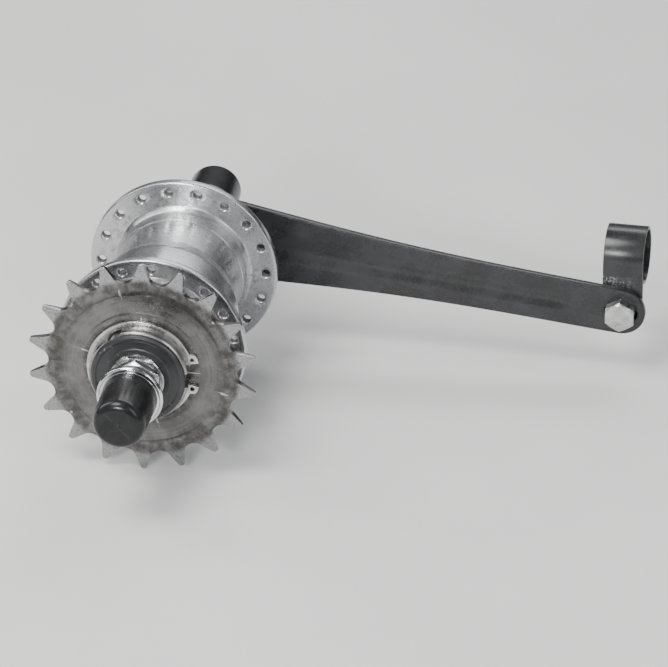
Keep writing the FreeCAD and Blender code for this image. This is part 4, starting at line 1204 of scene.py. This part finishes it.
def arm_height(u, v):
    """Pressed rib along the arm, raised towards +Y."""
    along = u * ARM_X + v * ARM_Z
    across = -u * ARM_Z + v * ARM_X
    half = 3.4 - 1.1 * clamp01(along / ARM_LENGTH)
    ends = clamp01((along - 19.0) / 9.0) * clamp01((ARM_LENGTH - 14.0 - along) / 9.0)
    return 1.15 * ease(ends) * ease(1.0 - abs(across) / (half * 1.9))


def build_arm():
    bm = bmesh.new()
    axle_hole_r, flat = 8.56, 7.25    # round hole with two flats, at z = flat and -flat
    edge = math.asin(flat / axle_hole_r)
    axle_hole = []
    for start in (0.0, math.pi):
        for j in range(19):
            a = start - edge + 2 * edge * j / 18
            axle_hole.append((axle_hole_r * math.cos(a), axle_hole_r * math.sin(a)))
    slot_r, slot_shift = 3.2, 2.5
    slot = []
    for side in (1, -1):
        for j in range(17):
            a = ARM_ANGLE - side * math.pi / 2 + math.pi * j / 16
            slot.append((EYE_X + slot_shift * ARM_X * side + slot_r * math.cos(a),
                         EYE_Z + slot_shift * ARM_Z * side + slot_r * math.sin(a)))
    plate(bm, arm_outline(), [axle_hole, slot], 50.95, 53.55, bevel=0.45, grid=1.15,
          height=arm_height)
    add_part("brake_arm_pressed", bm, "frame_side", "arm_paint", "brake_arm", 40.0)


build_arm()


# ------------------------------------------------------------------ arm clip, bolt and nut
def clip_path():
    """Centreline of the strap in (y, z): up one ear, round the loop, down the other ear."""
    loop_y, loop_r = 64.0, 9.6
    path = [(54.4, -24.3), (54.4, -14.0), (54.4, -4.0)]
    for j in range(1, 65):
        a = math.pi - (2 * math.pi - 0.62) * j / 64
        path.append((loop_y + loop_r * math.cos(a), loop_r * math.sin(a)))
    path += [(55.85, -8.4), (55.72, -10.0), (55.68, -12.0), (55.68, -24.3)]
    # even spacing, then smoothing
    fine = []
    for start, end in zip(path, path[1:]):
        a, b = Vector(start), Vector(end)
        pieces = max(1, int((b - a).length / 0.9))
        fine += [a.lerp(b, q / pieces) for q in range(pieces)]
    fine.append(Vector(path[-1]))
    for _ in range(3):
        middle = [(fine[i - 1] + fine[i] * 2 + fine[i + 1]) / 4 for i in range(1, len(fine) - 1)]
        fine = [fine[0]] + middle + [fine[-1]]
    return fine


def build_clip():
    """Steel strap with two ears side by side down to the bolt."""
    bm = bmesh.new()
    half_width, half_thick, bevel = 7.0, 0.6, 0.28
    section = []          # (x from the bolt, offset across the strap)
    for side_x, side_w, start in ((1, 1, 90), (1, -1, 0), (-1, -1, 270), (-1, 1, 180)):
        for k in range(4):
            a = math.radians(start - 90.0 * k / 3.0)
            section.append((side_x * (half_width - bevel) + bevel * math.cos(a),
                            side_w * (half_thick - bevel) + bevel * math.sin(a)))
    path = clip_path()
    count = len(path)
    rings = []
    for i, point in enumerate(path):
        along = (path[min(count - 1, i + 1)] - path[max(0, i - 1)]).normalized()
        normal = Vector((-along.y, along.x))
        # each ear ends in a rounded tongue
        to_end = ((path[0] if i < count / 2 else path[-1]) - point).length
        wide = 1.0
        if to_end < 5.0:
            wide = math.sqrt(max(0.04, 1.0 - ((5.0 - to_end) / 5.2) ** 2)) * 0.45 + 0.55
        ring = []
        for x, across in section:
            q = point + normal * across
            ring.append((EYE_X + x * wide, q.x, q.y))
        rings.append(ring)
    skin(bm, rings, closed=False)
    for ring in (rings[0], rings[-1]):
        bm.faces.new([bm.verts.new(Vector(p) * MM) for p in ring])
    add_part("arm_clip_strap", bm, "frame_side", "arm_paint", "arm_clip", 36.0)


build_clip()


def build_bolt():
    bm = bmesh.new()
    flats = 10.0
    head_low, head_high, tip = 46.85, 50.9, 62.8     # y of the head's faces and the tip
    shank = 2.98
    stations = [(0.0, head_low + 0.22), (2.6, head_low + 0.22), (3.0, head_low + 0.04),
                (4.1, head_low), (4.6, head_low)]
    stations += [(hexagon(flats, 4.75 + 0.2 * k), head_low + 0.03 + 0.13 * k)
                 for k in range(8)]
    full = hexagon(flats)
    stations += [(full, head_high - 0.25), (lambda a: full(a) - 0.12, head_high),
                 (3.3, head_high), (shank, head_high + 0.2), (shank, 54.0)]
    stations += [(thread(shank, 2.52, 0.8, y, limit=2.3 + (tip - y)), y)
                 for y in steps_from(54.2, tip, 0.09)]
    stations += [(2.2, tip), (0.0, tip)]
    skin(bm, [ring_points(r, y, HEX_COUNT, (EYE_X, EYE_Z)) for r, y in stations], closed=False)
    add_part("clip_bolt_hex", bm, "frame_side", "zinc_steel", "clip_bolt", 34.0)


build_bolt()
hex_nut("clip_nut_hex", 10.0, 56.45, 61.35, "clip_nut", bore=3.02, centre=(EYE_X, EYE_Z))

# ------------------------------------------------------------------ finishes on the CAD nodes
SLOT_OF = {part["node"]: part["material_slot"] for part in frame["record"]["subparts"]}
for node, obj in frame["nodes"].items():
    obj.data.materials.clear()
    obj.data.materials.append(MATERIALS[SLOT_OF[node]])


# ------------------------------------------------------------------ floor
def floor_material():
    net = Material("studio_floor")
    low = net.noise(scale=0.006, rough=0.5)
    fine = net.noise(scale=1.2)
    colour = net.mix(low.smooth(start=0.35, end=0.65), under=(0.74, 0.74, 0.735),
                     over=(0.80, 0.80, 0.795))
    material = net.finish(colour, rough=0.62, metallic=0.0,
                          normal=net.bump(fine, strength=0.05, depth=0.05))
    # far from the object the floor gives way to the plain backdrop
    far = net.math("SQRT", net.x * net.x + net.y * net.y)
    fade = net.field("MixShader", {0: far.smooth(start=450.0, end=1500.0), 1: net.surface,
                                   2: net.field("BsdfTransparent")})
    net.put(net.output.inputs[0], fade)
    return material


def build_floor():
    bm = bmesh.new()
    floor_z = -0.0402
    lines = (-4.0, -2.0, -1.0, 0.0, 1.0, 2.0, 4.0)
    rows = [[bm.verts.new((x, y, floor_z)) for x in lines] for y in lines]
    for row, after in zip(rows, rows[1:]):
        for i in range(len(lines) - 1):
            bm.faces.new((row[i], row[i + 1], after[i + 1], after[i]))
    link_mesh("studio_floor", bm, floor_material())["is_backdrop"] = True


build_floor()


# ------------------------------------------------------------------ lights
def area_light(name, place, target, size, power, colour=(1, 1, 1)):
    light = bpy.data.lights.new(name, "AREA")
    light.shape = "RECTANGLE"
    light.size, light.size_y = size
    light.energy = power
    light.color = colour
    obj = bpy.data.objects.new(name, light)
    obj.location = place
    obj.rotation_euler = (Vector(target) - Vector(place)).to_track_quat("-Z", "Y").to_euler()
    obj.visible_camera = False
    scene.collection.objects.link(obj)


area_light("key_soft", place=(-0.30, -0.35, 1.05), target=(0.03, 0, 0), size=(0.50, 0.50),
           power=10.5, colour=(1.0, 0.985, 0.96))
area_light("box_near_view", place=(-0.16, -1.00, 0.50), target=(0.0, -0.03, 0),
           size=(0.26, 0.14), power=7.0)
area_light("fill_front", place=(0.85, -0.75, 0.60), target=(0.03, 0, 0), size=(0.30, 0.7),
           power=3.2, colour=(0.95, 0.97, 1.0))
area_light("rim_back", place=(0.20, 0.80, 0.80), target=(0.03, 0, 0), size=(0.9, 0.30),
           power=4.0)
area_light("strip_left", place=(-0.80, 0.10, 0.62), target=(0.0, 0, 0), size=(0.18, 0.8),
           power=4.2, colour=(1.0, 0.99, 0.97))

# ------------------------------------------------------------------ world
# Brightness by direction: (position from straight down, 0, to straight up, 1; grey level).
SKY = [(0.0, 0.30), (0.46, 0.16), (0.52, 0.06), (0.60, 0.10),
       (0.70, 0.55), (0.80, 0.80), (0.90, 0.22), (1.0, 0.35)]


def build_world():
    """Banded sky that lights the parts, and a plain light grey that the camera sees."""
    world = bpy.data.worlds.new("studio_world")
    scene.world = world
    world.use_nodes = True
    net = Graph(world.node_tree)
    upward = net.components(net.field("TexCoord", output="Generated"))[2]
    height = net.field("MapRange", {0: upward, 1: -1.0, 2: 1.0})
    sky = net.ramp(height, [(at, (v, v * 1.01, v * 1.04)) for at, v in SKY])
    lighting = net.field("Background", {"Color": sky, "Strength": 0.75})
    backdrop = net.field("Background", {"Color": (0.80, 0.81, 0.82), "Strength": 0.85})
    seen = net.field("LightPath", output="Is Camera Ray")
    net.node("OutputWorld", {0: net.field("MixShader", {0: seen, 1: lighting, 2: backdrop})})


build_world()


# ------------------------------------------------------------------ camera
def build_camera():
    """Long lens on the right side, looking down at the hub and arm."""
    azimuth, elevation = math.radians(10.5), math.radians(29.5)
    distance = 3.0
    target = Vector((0.0580, 0.0, -0.0060))
    away = Vector((math.sin(azimuth) * math.cos(elevation),
                   -math.cos(azimuth) * math.cos(elevation), math.sin(elevation)))
    camera = bpy.data.cameras.new("photo_view")
    camera.lens = 470.0
    camera.sensor_width = 36.0
    camera.clip_start = 0.01
    camera.clip_end = 20.0
    obj = bpy.data.objects.new("photo_view", camera)
    obj.location = target + away * distance
    obj.rotation_euler = (-away).to_track_quat("-Z", "Y").to_euler()
    scene.collection.objects.link(obj)
    scene.camera = obj


build_camera()

size_end = plain_bounds(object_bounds())
